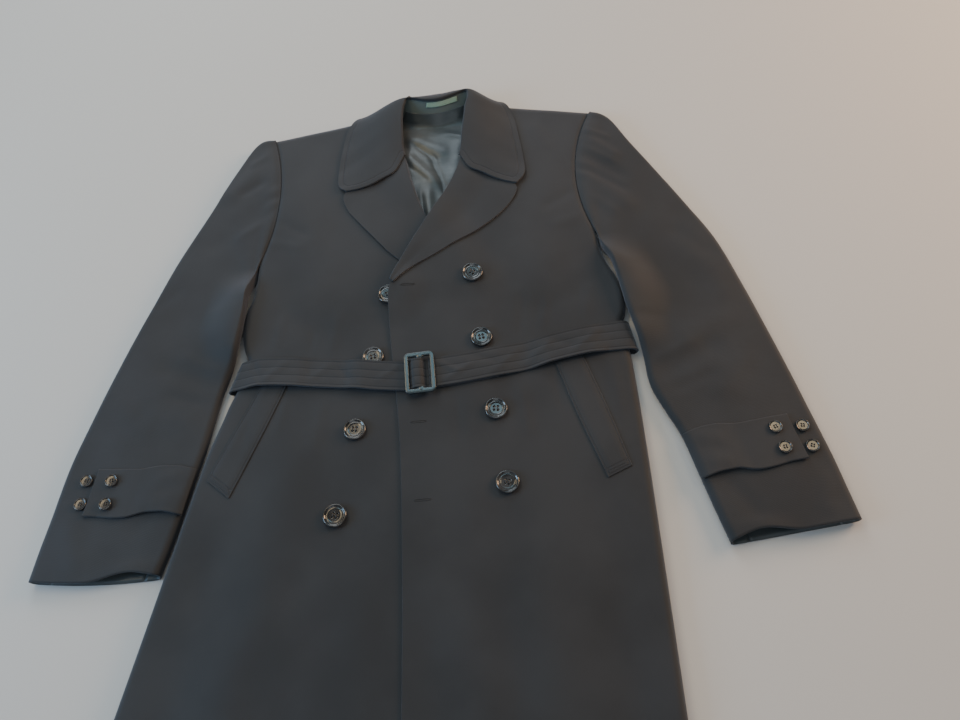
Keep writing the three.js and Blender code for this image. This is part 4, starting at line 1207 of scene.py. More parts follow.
@dataclass(frozen=True)
class SatinFinish:
    """Satin lining: bright and smooth, with painted sheen: long soft streaks of light and dark tone in its colour, as
    creases in its shine.
    """

    name: str = "lining_satin"
    # dark and light are the two ends of the painted sheen streaks
    dark: tuple = (0.031, 0.043, 0.050, 1.0)
    light: tuple = (0.074, 0.089, 0.095, 1.0)
    roughness: float = 0.38
    turn: float = 0.9
    stretch: float = 3.0
    scales: tuple = (70.0, 14.0)

    def material(self, groups: dict) -> bpy.types.Material:
        """Builds the material.

        Args:
            groups: the shared node groups by name.

        Returns:
            The material, reading Object coordinates.
        """
        made, graph, shader = start_material(self.name)
        place = graph.add("TexCoord").outputs["Object"]
        across = {0: place, "Rotation": (0.0, 0.0, self.turn), "Scale": (1.0, self.stretch, 1.0)}
        turned = graph.add("Mapping", across).outputs[0]
        nap = nap_at(graph, groups, turned, self.scales)
        # Painted sheen: broad noise, stretched and turned, blends the colour between the dark and the light tone as
        # streaks of shine.
        colour = graph.blend(nap["Clouds"], self.dark, self.light)
        relief = graph.add("Bump", {"Height": nap["Fibres"], "Distance": 0.0006, "Strength": 0.2})
        graph.feed(shader, {"Base Color": colour, "Roughness": self.roughness, "Metallic": 0.2})
        graph.feed(shader, {"Normal": relief.outputs[0]})
        shader.inputs["Sheen Weight"].default_value = 0.3
        return made


@dataclass(frozen=True)
class GlossFinish:
    """Polished horn or moulding: smoky clouds under a clear polish."""

    name: str
    dark: tuple
    light: tuple
    roughness: float
    cloud_scale: float
    coat: float
    fibre_scale: float = 900.0

    def material(self, groups: dict) -> bpy.types.Material:
        """Builds the material.

        Args:
            groups: the shared node groups by name.

        Returns:
            The material, reading Object coordinates.
        """
        made, graph, shader = start_material(self.name)
        place = graph.add("TexCoord").outputs["Object"]
        nap = nap_at(graph, groups, place, (self.fibre_scale, self.cloud_scale))
        colour = graph.blend(nap["Clouds"], self.dark, self.light)
        rough = graph.math("MULTIPLY_ADD", nap["Fibres"], 0.08, self.roughness)
        graph.feed(shader, {"Base Color": colour, "Roughness": rough})
        shader.inputs["Coat Weight"].default_value = self.coat
        shader.inputs["Coat Roughness"].default_value = 0.08
        shader.inputs["Specular IOR Level"].default_value = 0.6
        return made


class Wardrobe:
    """All the finishes, built once."""

    def __init__(self) -> None:
        """Builds the shared groups and the materials."""
        groups = {"twill": twill_group(), "nap": nap_group(), "stitch": stitch_group()}
        self.coat = ClothFinish(
            "coat_cloth", (0.0216, 0.0245, 0.0285, 1.0), (0.0340, 0.0375, 0.0425, 1.0), 0.74, 0.28
        ).material(groups)
        self.stand = ClothFinish(
            "stand_cloth", (0.082, 0.108, 0.106, 1.0), (0.112, 0.142, 0.138, 1.0), 0.68, 0.3
        ).material(groups)
        self.tape = ClothFinish(
            "strip_tape",
            (0.20, 0.32, 0.25, 1.0),
            (0.27, 0.40, 0.32, 1.0),
            0.6,
            0.2,
            ribs=1500.0,
            rib_height=0.08,
        ).material(groups)
        self.satin = SatinFinish().material(groups)
        self.horn = GlossFinish(
            "button_horn", (0.006, 0.0065, 0.008, 1.0), (0.045, 0.047, 0.05, 1.0), 0.14, 62.0, 0.6
        ).material(groups)
        self.moulding = GlossFinish(
            "buckle_plastic", (0.018, 0.034, 0.043, 1.0), (0.031, 0.052, 0.064, 1.0), 0.22, 30.0, 0.5
        ).material(groups)
        self.hole_thread = GlossFinish(
            "buttonhole_thread", (0.016, 0.0175, 0.020, 1.0), (0.026, 0.028, 0.031, 1.0), 0.75, 300.0, 0.0
        ).material(groups)
        self.thread = GlossFinish(
            "sewing_thread", (0.03, 0.03, 0.034, 1.0), (0.05, 0.05, 0.055, 1.0), 0.55, 300.0, 0.0
        ).material(groups)


# --------------------------------------------------------------------------- fronts
@dataclass
class Fronts:
    """The two front panels, cut in one with the skirt; the left one lies over the right one."""

    points_down: tuple = (26, 205)
    points_across: int = 92
    crowding: float = 1.4
    seam_depth: float = 1.3
    seam_width: float = 3.2
    armhole_fade: float = 14.0
    hole_length: float = 19.0
    hole_inset: float = 15.0
    hole_half: float = 1.15
    hole_slope: float = 0.04
    slit_end: float = 1.5
    hole_rows: tuple = (-323.0, -517.0, -615.0)

    def point(self, table: Rows, side: Side, outer: bool, section: Array, across: Array) -> Array:
        """A front's upper face.

        Each section runs straight from the inner edge to the side. Its height is that of the coat, times a
        quarter ellipse at the shoulder seam and at the side fold, and pressed in at the armhole seam.

        Args:
            table: the front's sections.
            side: the side of the body that it reaches.
            outer: for the outer front.
            section: section numbers.
            across: shares from the inner edge to the side.

        Returns:
            The points.
        """
        inner_x, inner_y = table.at("inner_x", section), table.at("inner_y", section)
        outer_y = table.at("outer_y", section)
        outer_x = edge_x(side, outer_y)
        x, y = mix(inner_x, outer_x, across), mix(inner_y, outer_y, across)
        width = np.hypot(outer_x - inner_x, outer_y - inner_y)
        inner_way = np.hypot(inner_x - table["inner_x"][0], inner_y - table["inner_y"][0])
        outer_way = np.hypot(outer_x - side.shoulder[0], outer_y - side.shoulder[1])
        from_top = np.where(section < 1, mix(inner_way, outer_way, across), SIZES.shoulder_round)
        from_side = (1 - across) * width
        fade = self.armhole_fade
        below = ramp(outer_y, side.underarm[1] + fade, side.underarm[1] - fade)
        rounding = round_off(from_top, SIZES.shoulder_round) * mix(
            1, round_off(from_side, SIZES.side_round), below
        )
        seam = SIZES.cloth + 2 * SIZES.seam + PASSAGE.hump_at(x, y, PASSAGE.front_reach)
        z = seam + (top_at(x, y, outer) - seam) * rounding
        z = z - self.seam_depth * bell(from_side, self.seam_width) * (1 - below) * ramp(from_top, 2, 12)
        return np.stack([x, y, z + 0 * x], axis=-1)

    def panel(self, name: str, table: Rows, side: Side, outer: bool) -> Cloth:
        """One front panel.

        Args:
            name: the CAD node that it stands for.
            table: the front's sections.
            side: the side of the body that it reaches.
            outer: for the outer front.

        Returns:
            The cloth piece.
        """
        last = len(table) - 1
        above, below = self.points_down
        shoulder = np.linspace(0, 1, above)[:-1] ** self.crowding
        section = np.concatenate([shoulder, np.linspace(1, last, below)])[:, None]
        close = np.array([0, 0.4, 1.0, 1.9, 3.2, 5.0, 7.2, 10.0]) / 260
        across = spaced(self.points_across, close, close)[None, :]
        grid = self.point(table, side, outer, section, across)
        rests = ["front_right"] if outer else ["back"]
        return Cloth(name, grid, rests)

    def buttonholes(self, wardrobe: Wardrobe) -> bpy.types.Object:
        """Worked buttonholes near the outer front's edge: a thread rim round a flat oval, lying on the cloth.

        Args:
            wardrobe: the finishes.

        Returns:
            One object for all of them.
        """
        angle = np.linspace(0, 2 * np.pi, 49)[:-1]
        parts = []
        for row in self.hole_rows:
            start = float(FRONT_LEFT.at("inner_x", row, "inner_y")) + self.hole_inset
            x = start + self.hole_length / 2 * (1 + np.sign(np.cos(angle)) * np.abs(np.cos(angle)) ** 0.5)
            y = row + self.hole_half * np.sin(angle) + self.hole_slope * (x - start)
            path = np.stack([x, y, top_at(x, y, True) + 0.1], axis=1)
            parts.append(swept_tube(path, (0.42, 0.3), True, 8))
            slit_x = np.linspace(start + self.slit_end, start + self.hole_length - self.slit_end, 16)
            slit_y = row + self.hole_slope * (slit_x - start)
            slit = np.stack([slit_x, slit_y, top_at(slit_x, slit_y, True) - 0.2], axis=1)
            parts.append(swept_tube(slit, (0.5, 0.3), False, 6))
        holes = make_object("buttonholes", *joined(parts))
        dress(holes, wardrobe.hole_thread, "coat_cloth")
        return holes

    def build(self, wardrobe: Wardrobe) -> None:
        """Makes both fronts and the buttonholes.

        Args:
            wardrobe: the finishes.
        """
        self.panel("front_right", FRONT_RIGHT, RIGHT, False).build(wardrobe.coat)
        self.panel("front_left", FRONT_LEFT, LEFT, True).build(wardrobe.coat)
        self.buttonholes(wardrobe)


@dataclass
class Back:
    """The back panel, flat on the floor and up over the belt that passes under it."""

    points_down: tuple = (73, 84)
    points_across: int = 91
    dense_sections: int = 6
    neck_middle: float = 9.0
    neck_half: float = 75.0
    neck_dip: float = 28.0

    def build(self, wardrobe: Wardrobe) -> None:
        """Makes the back: sections between the sides, shaped to the neck and shoulders at the top.

        Args:
            wardrobe: the finishes.
        """
        last = len(BACK) - 1
        above, below = self.points_down
        shoulders = np.linspace(0, self.dense_sections, above)[:-1]
        section = np.concatenate([shoulders, np.linspace(self.dense_sections, last, below)])[:, None]
        across = np.linspace(0, 1, self.points_across)[None, :]
        left_y, right_y = BACK.at("left_y", section), BACK.at("right_y", section)
        x = mix(edge_x(RIGHT, right_y), edge_x(LEFT, left_y), across)
        chord = mix(RIGHT.shoulder[1], LEFT.shoulder[1], across)
        near_neck = 1 - np.minimum(np.abs(x - self.neck_middle) / self.neck_half, 1)
        top_y = SHOULDER_LINE.at("y", x, "x") - self.neck_dip * round_off(near_neck, 1)
        y = mix(right_y, left_y, across) + BACK.at("shape", section) * (top_y - chord)
        z = SIZES.cloth + PASSAGE.hump_at(x, y, PASSAGE.back_reach)
        grid = np.stack([x, y, z], axis=-1)
        Cloth("back", grid, ["belt"]).build(wardrobe.coat)


# --------------------------------------------------------------------------- sleeves
@dataclass
class Sleeve:
    """A two-piece sleeve laid flat, with its cuff strap; the top piece turns under at both folds.

    The head's ridge and the pucker are given as height, distance from the seam and width. The strap's
    hills across the sleeve are given as height, middle, half width and fall.
    """

    name: str
    side: Side
    table: Rows
    strap_top: float
    strap_bottom: float
    strap_start: float
    top_points: tuple = (46, 130, 74)
    under_points: tuple = (90, 30)
    strap_points: tuple = (30, 66)
    lift_above: float = 4.0
    lift_below: float = 50.0
    lift_fade: float = 60.0
    belt_top: float = -398.0
    belt_bottom: float = -452.0
    arch_rise: float = 9.0
    arch_lift: float = 2.5
    arch_at: float = 0.76
    arch_half: float = 0.34
    arch_sections: float = 0.8
    section_way: float = 24.0
    head_ridge: tuple = (0.8, 12.0, 8.0)
    head_groove: tuple = (1.6, 4.0)
    pucker: tuple = (0.4, 8.0, 10.0)
    strap_bulge: tuple = (3.0, 0.82, 0.03, 0.2)
    strap_ripple: tuple = (0.45, 0.84, 0.02, 0.14)
    strap_sag: tuple = (4.2, 0.8, 0.04, 0.2)
    strap_dip: tuple = (2.2, 0.52, 0.02, 0.2)
    strap_curl: float = 1.5
    strap_end: float = 0.988
    under_slack: float = 8.0

    def lift(self, x: Array, y: Array) -> Array:
        """Height of the lower layer where the sleeve lies on the body's side.

        Args:
            x: places across the coat.
            y: places along the coat.

        Returns:
            The heights.
        """
        under_y = self.side.underarm[1]
        over = ramp(y, under_y + self.lift_above, under_y - self.lift_below)
        over = over * (1 - ramp(y, self.belt_top, self.belt_bottom))
        reach = np.abs(x) - np.abs(edge_x(self.side, y))
        return (top_at(x, y, False) + SIZES.rest) * over * (1 - ramp(reach, 0, self.lift_fade))

    def point(self, section: Array, across: Array, upper: Array) -> Array:
        """A point of the sleeve.

        Sections run from the outer fold to the inner one, bowed towards the body at the armhole. The upper
        layer is half the thickness plus a quarter ellipse of the rest, with folds, puckers along the
        armhole seam and an arch over the cuff's mouth. The lower layer lies flat.

        Args:
            section: section numbers.
            across: shares from the outer fold to the inner one.
            upper: whether the point is on the upper layer.

        Returns:
            The points.
        """
        table = self.table
        outer_x, outer_y = table.at("outer_x", section), table.at("outer_y", section)
        chord_x = table.at("inner_x", section) - outer_x
        chord_y = table.at("inner_y", section) - outer_y
        width = np.hypot(chord_x, chord_y)
        bow = table.at("bow", section) * 4 * across * (1 - across)
        x = outer_x + chord_x * across + self.side.sign * chord_y * bow / width
        y = outer_y + chord_y * across - self.side.sign * chord_x * bow / width
        lift = self.lift(x, y)
        half = table.at("thick", section) / 2
        rounding = round_off(np.minimum(across, 1 - across) * width, SIZES.sleeve_round)
        last = len(table) - 1
        near_mouth = ramp(section, last - self.arch_sections, last)
        arch = bump(across - self.arch_at, 0, self.arch_half) * near_mouth
        up_y = y + self.arch_rise * arch
        folds = folds_at(SLEEVE_FOLDS, x, up_y) + folds_at(SLEEVE_CREASES, x, up_y) + drift(x, up_y)
        from_seam = section * self.section_way
        high, place, wide = self.head_ridge
        deep, narrow = self.head_groove
        head = high * bell(from_seam - place, wide) - deep * bell(from_seam, narrow)
        high, place, wide = self.pucker
        ripples = np.sin(across * 37 + 2.6 * np.sin(across * 13))
        pucker = high * bell(from_seam - place, wide) * ripples
        up_z = lift + half + (half + folds + head + pucker) * rounding + self.arch_lift * arch
        low_z = lift + half * (1 - rounding)
        return np.stack([x + 0 * up_z, np.where(upper, up_y, y), np.where(upper, up_z, low_z)], axis=-1)

    def width_at(self, section: Array) -> Array:
        """Width of the flat sleeve at a section."""
        along_x = self.table.at("inner_x", section) - self.table.at("outer_x", section)
        along_y = self.table.at("inner_y", section) - self.table.at("outer_y", section)
        return np.hypot(along_x, along_y)

    def top_piece(self) -> Cloth:
        """The top sleeve: under strip, outer fold, upper face, inner fold, under strip.

        Returns:
            The cloth piece.
        """
        last = len(self.table) - 1
        head, below, flat_points = self.top_points
        section = np.concatenate([np.linspace(0, 2, head)[:-1], np.linspace(2, last, below)])[:, None]
        width = self.width_at(section)
        curve = np.array([0, 0.3, 0.8, 1.6, 2.7, 4.2, 6.0, SIZES.sleeve_round])
        strip = np.array([SIZES.under_strip, 18.0, 13.0])
        under = np.concatenate([strip, curve[:0:-1]])[None, :] / width
        near = curve[None, :-1] / width
        flat = np.linspace(0, 1, flat_points)[None, :]
        edge = SIZES.sleeve_round / width
        middle = edge + (1 - 2 * edge) * flat
        shares = [under, near, middle, 1 - near[:, ::-1], 1 - under[:, ::-1]]
        across = np.concatenate(shares, axis=1)
        low = np.zeros(under.shape[1], bool)
        high = np.ones(2 * near.shape[1] + middle.shape[1], bool)
        upper = np.concatenate([low, high, low])[None, :]
        grid = self.point(section, across, upper)
        return Cloth(f"top_sleeve_{self.name}", grid, [f"under_sleeve_{self.name}"])

    def under_piece(self) -> Cloth:
        """The under sleeve: the lower layer between the top sleeve's turned strips.

        Returns:
            The cloth piece.
        """
        last = len(self.table) - 1
        down, over = self.under_points
        section = np.linspace(0, last, down)[:, None]
        width = self.width_at(section)
        start = (SIZES.under_strip + SIZES.seam) / width
        slack = self.under_slack * (1 - ramp(section, 1, 3)) / width
        across = start + (1 - 2 * start - slack) * np.linspace(0, 1, over)[None, :]
        grid = self.point(section, across, np.zeros((1, over), bool))
        return Cloth(f"under_sleeve_{self.name}", grid, [f"front_{self.name}"], facing=Facing.DOWN)

    def strap(self) -> Cloth:
        """The cuff strap: the sleeve's own points moved out, its lower edge lifted in waves.

        Returns:
            The cloth piece.
        """
        rows, columns = self.strap_points
        section = np.linspace(self.strap_top, self.strap_bottom, rows)[:, None]
        across = spaced(columns, EDGE_CLOSE[:3], EDGE_CLOSE[:3]) * (self.strap_end - self.strap_start)
        across = (self.strap_start + across)[None, :]
        upper = np.ones(across.shape, bool)
        grid = self.point(section, across, upper)
        normal = unit_normals(grid)
        normal *= np.sign(normal[rows // 2, columns // 2, 2])
        down = (section - self.strap_top) / (self.strap_bottom - self.strap_top)
        bulge = hill(across, *self.strap_bulge) * (0.45 + 0.55 * down)
        high, middle, half, fall = self.strap_ripple
        ripple = high * np.sin(down * 13 + across * 5) * bump(across - middle, half, fall)
        curl = self.strap_curl * down**4 * np.abs(np.sin(across * 8.5))
        grid = grid + normal * (SIZES.rest + SIZES.cloth + bulge + ripple + curl)[..., None]
        high, middle, half, fall = self.strap_dip
        dip = high * down * bump(across - middle, half, fall)
        grid[..., 1] += hill(across, *self.strap_sag) - dip
        return Cloth(f"cuff_strap_{self.name}", grid, [f"top_sleeve_{self.name}"])

    def build(self, wardrobe: Wardrobe) -> None:
        """Makes the two sleeve pieces and the strap.

        Args:
            wardrobe: the finishes.
        """
        self.under_piece().build(wardrobe.coat, wardrobe.satin)
        self.top_piece().build(wardrobe.coat, wardrobe.satin)
        self.strap().build(wardrobe.coat)


SLEEVE_RIGHT = Sleeve(
    "right",
    RIGHT,
    Rows(
        "outer_x outer_y inner_x inner_y bow thick",
        (-238.8, -33, -236, -278.5, 20.5, 17),
        (-264, -43, -237.6, -300, 7, 17),
        (-290, -95, -239.6, -326, 4, 17),
        (-317, -161, -239.5, -356, 2, 15),
        (-354, -252, -243.5, -408, 0, 14),
        (-381, -338, -257, -454, 0, 14.5),
        (-406, -419, -264, -500, 0, 15),
        (-429, -508, -269, -536, 0, 15),
        (-439, -556, -274, -563, 0, 15),
        (-446, -615, -284, -619, 0, 15),
        (-451, -652, -291, -655, -1, 15),
        (-455, -689, -299, -689, -4, 15),
    ),
    strap_top=8,
    strap_bottom=9,
    strap_start=0.26,
)
SLEEVE_LEFT = Sleeve(
    "left",
    LEFT,
    Rows(
        "outer_x outer_y inner_x inner_y bow thick",
        (240.9, -25, 232, -258.5, 26.5, 17),
        (266, -42, 236.0, -280, 10, 17),
        (290, -88, 244.2, -305, 5, 17),
        (322, -146, 250.5, -338, 2, 15),
        (356, -210, 256, -372, 0, 14),
        (385, -270, 264, -405, 0, 14),
        (406, -339, 271, -440, 0, 14.5),
        (425, -410, 275, -480, 0, 15),
        (441, -474, 289, -516, 0, 15),
        (453, -525, 303, -548, 0, 15),
        (466, -580, 318, -603, 0, 15),
        (473, -617, 328, -640, 0, 15),
        (480, -654, 338, -675, 0, 15),
    ),
    strap_top=9,
    strap_bottom=10,
    strap_start=0.2,
)


# --------------------------------------------------------------------------- collar
def under(outer: bool) -> str:
    """The front that a piece lies on."""
    return "front_left" if outer else "front_right"


def lip_and_face(lip_points: int, face_steps: int) -> Array:
    """Shares of a turned piece as a row: evenly up to the fold, then closer near fold and edge."""
    lip = np.linspace(-1, 0, lip_points + 1)[:-1]
    return np.concatenate([lip, spaced(face_steps, FOLD_CLOSE, EDGE_CLOSE)])[None, :]


def turned_over(start: Sequence[Array], end: Sequence[Array], share: Array, bow: Array) -> tuple:
    """Plan of a piece turned over a fold: straight shares to its edge, bowed by a parabola, and a lip.

    Args:
        start: x and y of the fold.
        end: x and y of the free edge.
        share: -1 at the lip inside the fold, 0 at the fold, 1 at the free edge.
        bow: how far the way from fold to edge bows to one side.

    Returns:
        The x and y of the points.
    """
    way_x, way_y = end[0] - start[0], end[1] - start[1]
    length = np.hypot(way_x, way_y)
    beyond = np.maximum(share, 0)
    out = bow * 4 * beyond * (1 - beyond) / length
    inward = -np.minimum(share, 0) * SIZES.lip / length
    x = mix(start[0], end[0], beyond) - way_y * out
    y = mix(start[1], end[1], beyond) + way_x * out
    return x - way_x * inward, y - way_y * inward


@dataclass
class Collar:
    """The collar's fall, its stand, and the hanger strip on the stand."""

    fall_points: tuple = (241, 44)
    stand_points: tuple = (150, 16)
    strip_points: tuple = (40, 8)
    lip_points: int = 7
    stand_stations: tuple = (1, 15)
    stitch: float = 8.0
    stand_drop: float = 4.8
    corner: float = 5.0
    corner_at: float = 0.24
    corner_width: float = 0.15
    corner_lean: float = 0.4
    wave: float = 0.5
    small_wave: float = 0.25
    rest_reach: float = 8.0
    rest_round: float = 22.0
    fall_power: float = 1.8
    lip_drop: float = 3.2
    strip_stations: tuple = (7.2, 9.2)
    strip_shares: tuple = (0.07, 0.25)
    strip_out: float = 1.3
    stations: Rows = Rows(
        "fold_x fold_y fold_z edge_x edge_y bow under",
        (-35, -98, 27, -119, -153, 15, 2.5),
        (-38, -82, 29, -130, -141, 6, 2.5),
        (-39, -62, 32, -132, -113, 0, 0),
        (-40, -36, 35, -130, -78, 0, 0),
        (-39, -12, 37, -125, -36, 0, 0),
        (-34, 5, 38, -108, 0, 0, 0),
        (-24, 5, 38, -66, 24, 0, 0),
        (-6, 1, 38, -26, 39, 0, 0),
        (16, 1, 38, 16, 45, 0, 0),
        (38, 8, 38, 50, 45, 0, 0),
        (57, 14, 38, 86, 28, 0, 0),
        (61, 4, 38, 113, 4, 0, 0),
        (57, -16, 37, 126, -28, 0, 0),
        (54, -42, 35, 132, -66, 0, 0),
        (51, -68, 32, 137, -108, 0, 0),
        (49, -88, 29, 138, -142, 6, 2.5),
        (46, -104, 27, 126, -160, 9, 2.5),
    )
    neck_seam: Rows = Rows(
        "x y z",
        (-40, -97, 20),
        (-46, -84, 19.5),
        (-52, -66, 19),
        (-60, -42, 18.6),
        (-65, -18, 17.6),
        (-62, -2, 9),
        (-42, -13, 4.6),
        (-16, -21, 4.6),
        (12, -23.5, 4.6),
        (38, -18, 4.6),
        (62, -7, 5.5),
        (79, 4, 12),
        (80, -20, 19),
        (75, -46, 18.8),
        (66, -72, 19.2),
        (59, -88, 19.6),
        (52, -102, 20),
    )

    def floor(self, x: Array, y: Array) -> Array:
        """Height under the collar: the fronts, with a wide soft shoulder.

        Args:
            x: places across the coat.
            y: places along the coat.

        Returns:
            The heights.
        """
        seam = SIZES.cloth + SIZES.seam
        below = SHOULDER_LINE.at("y", x, "x") - y
        full = top_at(x, y, False, False) - seam
        return seam + full * round_off(below + self.rest_reach, self.rest_round)

    def fall_point(self, station: Array, share: Array) -> Array:
        """The fall: a lip inside the fold, the fold, then down to the free edge by a power of a cosine.

        Args:
            station: station numbers round the neck.
            share: -1 at the lip, 0 at the fold, 1 at the free edge.

        Returns:
            The points.
        """
        fold = [self.stations.at(f"fold_{axis}", station) for axis in "xyz"]
        edge = [self.stations.at(f"edge_{axis}", station) for axis in "xy"]
        way = np.where(station < (len(self.stations) - 1) / 2, 1, -1)
        bow = self.stations.at("bow", station) * way
        from_end = np.minimum(station, len(self.stations) - 1 - station)
        corner = self.corner * bell(share - self.corner_at, self.corner_width) * (1 - ramp(from_end, 0, 1))
        x, y = turned_over(fold, edge, share, bow)
        x = x + corner * self.corner_lean * way * (share > 0)
        y = y - corner * (share > 0)
        floor = self.floor(x, y) + SIZES.layer + np.maximum(self.stations.at("under", station), 0)
        fall = np.cos(np.maximum(share, 0) * np.pi / 2) ** self.fall_power
        wave = self.wave * np.sin(station * 2.3 + share * 2) * share**2
        wave = wave + self.small_wave * np.sin(station * 5.1)
        z = floor + (fold[2] - floor) * fall + wave * ramp(share, 0.1, 1)
        return np.stack([x, y, np.where(share < 0, fold[2] - self.lip_drop * share**2, z)], axis=-1)

    def stand_point(self, station: Array, share: Array) -> Array:
        """The stand: straight from just under the fold down to the neck seam.

        Args:
            station: station numbers round the neck.
            share: 0 under the fold, 1 at the neck seam.

        Returns:
            The points.
        """
        top = [self.stations.at(f"fold_{axis}", station) for axis in "xyz"]
        foot = [self.neck_seam.at(axis, station) for axis in "xyz"]
        top[2] = top[2] - self.stand_drop
        return np.stack([mix(a, b, share) for a, b in zip(top, foot)], axis=-1)

    def build(self, wardrobe: Wardrobe) -> None:
        """Makes the fall, the stand and the hanger strip.

        Args:
            wardrobe: the finishes.
        """
        down, over = self.fall_points
        station = np.linspace(0, len(self.stations) - 1, down)[:, None]
        share = lip_and_face(self.lip_points, over)
        grid = self.fall_point(station, share)
        face = grid[:, self.lip_points :]
        edge = np.concatenate([face[0], face[1:, -1], face[-1, ::-1]])
        run, distance = near_edge(grid, edge)
        fall = Cloth("collar", grid, ["front_left", "front_right"], seen=0)
        fall.stitch_run, fall.stitch_line = run, distance - self.stitch
        fall.build(wardrobe.coat)
        down, over = self.stand_points
        around = np.linspace(*self.stand_stations, down)[:, None]
        stand = self.stand_point(around, np.linspace(0, 1, over)[None, :])
        Cloth("collar_stand", stand, ["back"], "stand_cloth").build(wardrobe.stand)
        self.strip().build(wardrobe.tape)

    def stand_face(self, station: Array, share: Array, out: float) -> Array:
        """Points of the stand moved out of its face, towards the open neck, along its normal.

        Args:
            station: station numbers round the neck.
            share: 0 under the fold, 1 at the neck seam.
            out: the distance.

        Returns:
            The points.
        """
        base = self.stand_point(station, share)
        normal = unit_normals(base)
        rows, columns = base.shape[:2]
        return base - normal * np.sign(normal[rows // 2, columns // 2, 1]) * out

    def strip(self) -> Cloth:
        """The hanger strip: the stand's own points moved out.

        Returns:
            The cloth piece.
        """
        down, over = self.strip_points
        station = np.linspace(*self.strip_stations, down)[:, None]
        share = np.linspace(*self.strip_shares, over)[None, :]
        grid = self.stand_face(station + 0 * share, share + 0 * station, self.strip_out)
        return Cloth("hanger_strip", grid, ["collar_stand"], "strip_tape", thickness=1.0)


@dataclass
class Lapel:
    """A lapel turned back on its front, with a lip round the roll line."""

    name: str
    front: Rows
    outer: bool
    table: Rows
    points: tuple = (120, 40)
    lip_points: int = 6
    roll_share: float = 0.55
    lip_gap: float = 0.6
    wave: float = 0.4

    def build(self, wardrobe: Wardrobe) -> None:
        """Makes the lapel: straight shares from the roll line to the free edge, on the front's own height.

        Args:
            wardrobe: the finishes.
        """
        last = len(self.table) - 1
        down, over = self.points
        station = np.linspace(0, last, down)[:, None]
        share = lip_and_face(self.lip_points, over)
        roll_y = self.table.at("roll_y", station)
        roll_x = self.front.at("inner_x", roll_y, "inner_y")
        edge = [self.table.at("edge_x", station), self.table.at("edge_y", station)]
        loft = self.table.at("loft", station)
        bow = self.table.at("bow", station) * (-1 if self.outer else 1)
        x, y = turned_over((roll_x, roll_y), edge, share, bow)
        rolled = top_at(x, y, self.outer) + SIZES.layer + loft * (1 - ramp(share, 0, self.roll_share))
        rolled = rolled + self.wave * np.sin(station * 1.7 + 1) * np.maximum(share, 0) ** 2
        fold_z = SIZES.layer + loft
        lip_z = top_at(roll_x, roll_y, self.outer) + fold_z - (fold_z - self.lip_gap) * share**2
        grid = np.stack([x, y, np.where(share < 0, lip_z, rolled)], axis=-1)
        Cloth(self.name, grid, [under(self.outer)]).build(wardrobe.coat)


LAPELS = (
    Lapel(
        "lapel_right",
        FRONT_RIGHT,
        False,
        Rows(
            "roll_y edge_x edge_y bow loft",
            (-95, -115, -147, 14, 6),
            (-122, -122, -163, 2, 6),
            (-160, -114, -186, 0, 4),
            (-196, -97, -209, 0, 0.8),
            (-230, -75, -236, 0, 0),
            (-261, -48, -268, 0, 0),
            (-290, -12, -296, 0, 0),
            (-306, 30, -309, 0, 0),
        ),
    ),
    Lapel(
        "lapel_left",
        FRONT_LEFT,
        True,
        Rows(
            "roll_y edge_x edge_y bow loft",
            (-99, 121, -153, 11, 6),
            (-130, 126, -169, 2, 6),
            (-162, 117, -190, 0, 5),
            (-189, 98, -213, 0, 4),
            (-216, 72, -234, 0, 3),
            (-238, 42, -255, 0, 2.5),
            (-261, 11, -276, 0, 2),
            (-288, -19, -295, 0, 1.4),
            (-315, -43, -319, 0, 0.6),
        ),
    ),
)


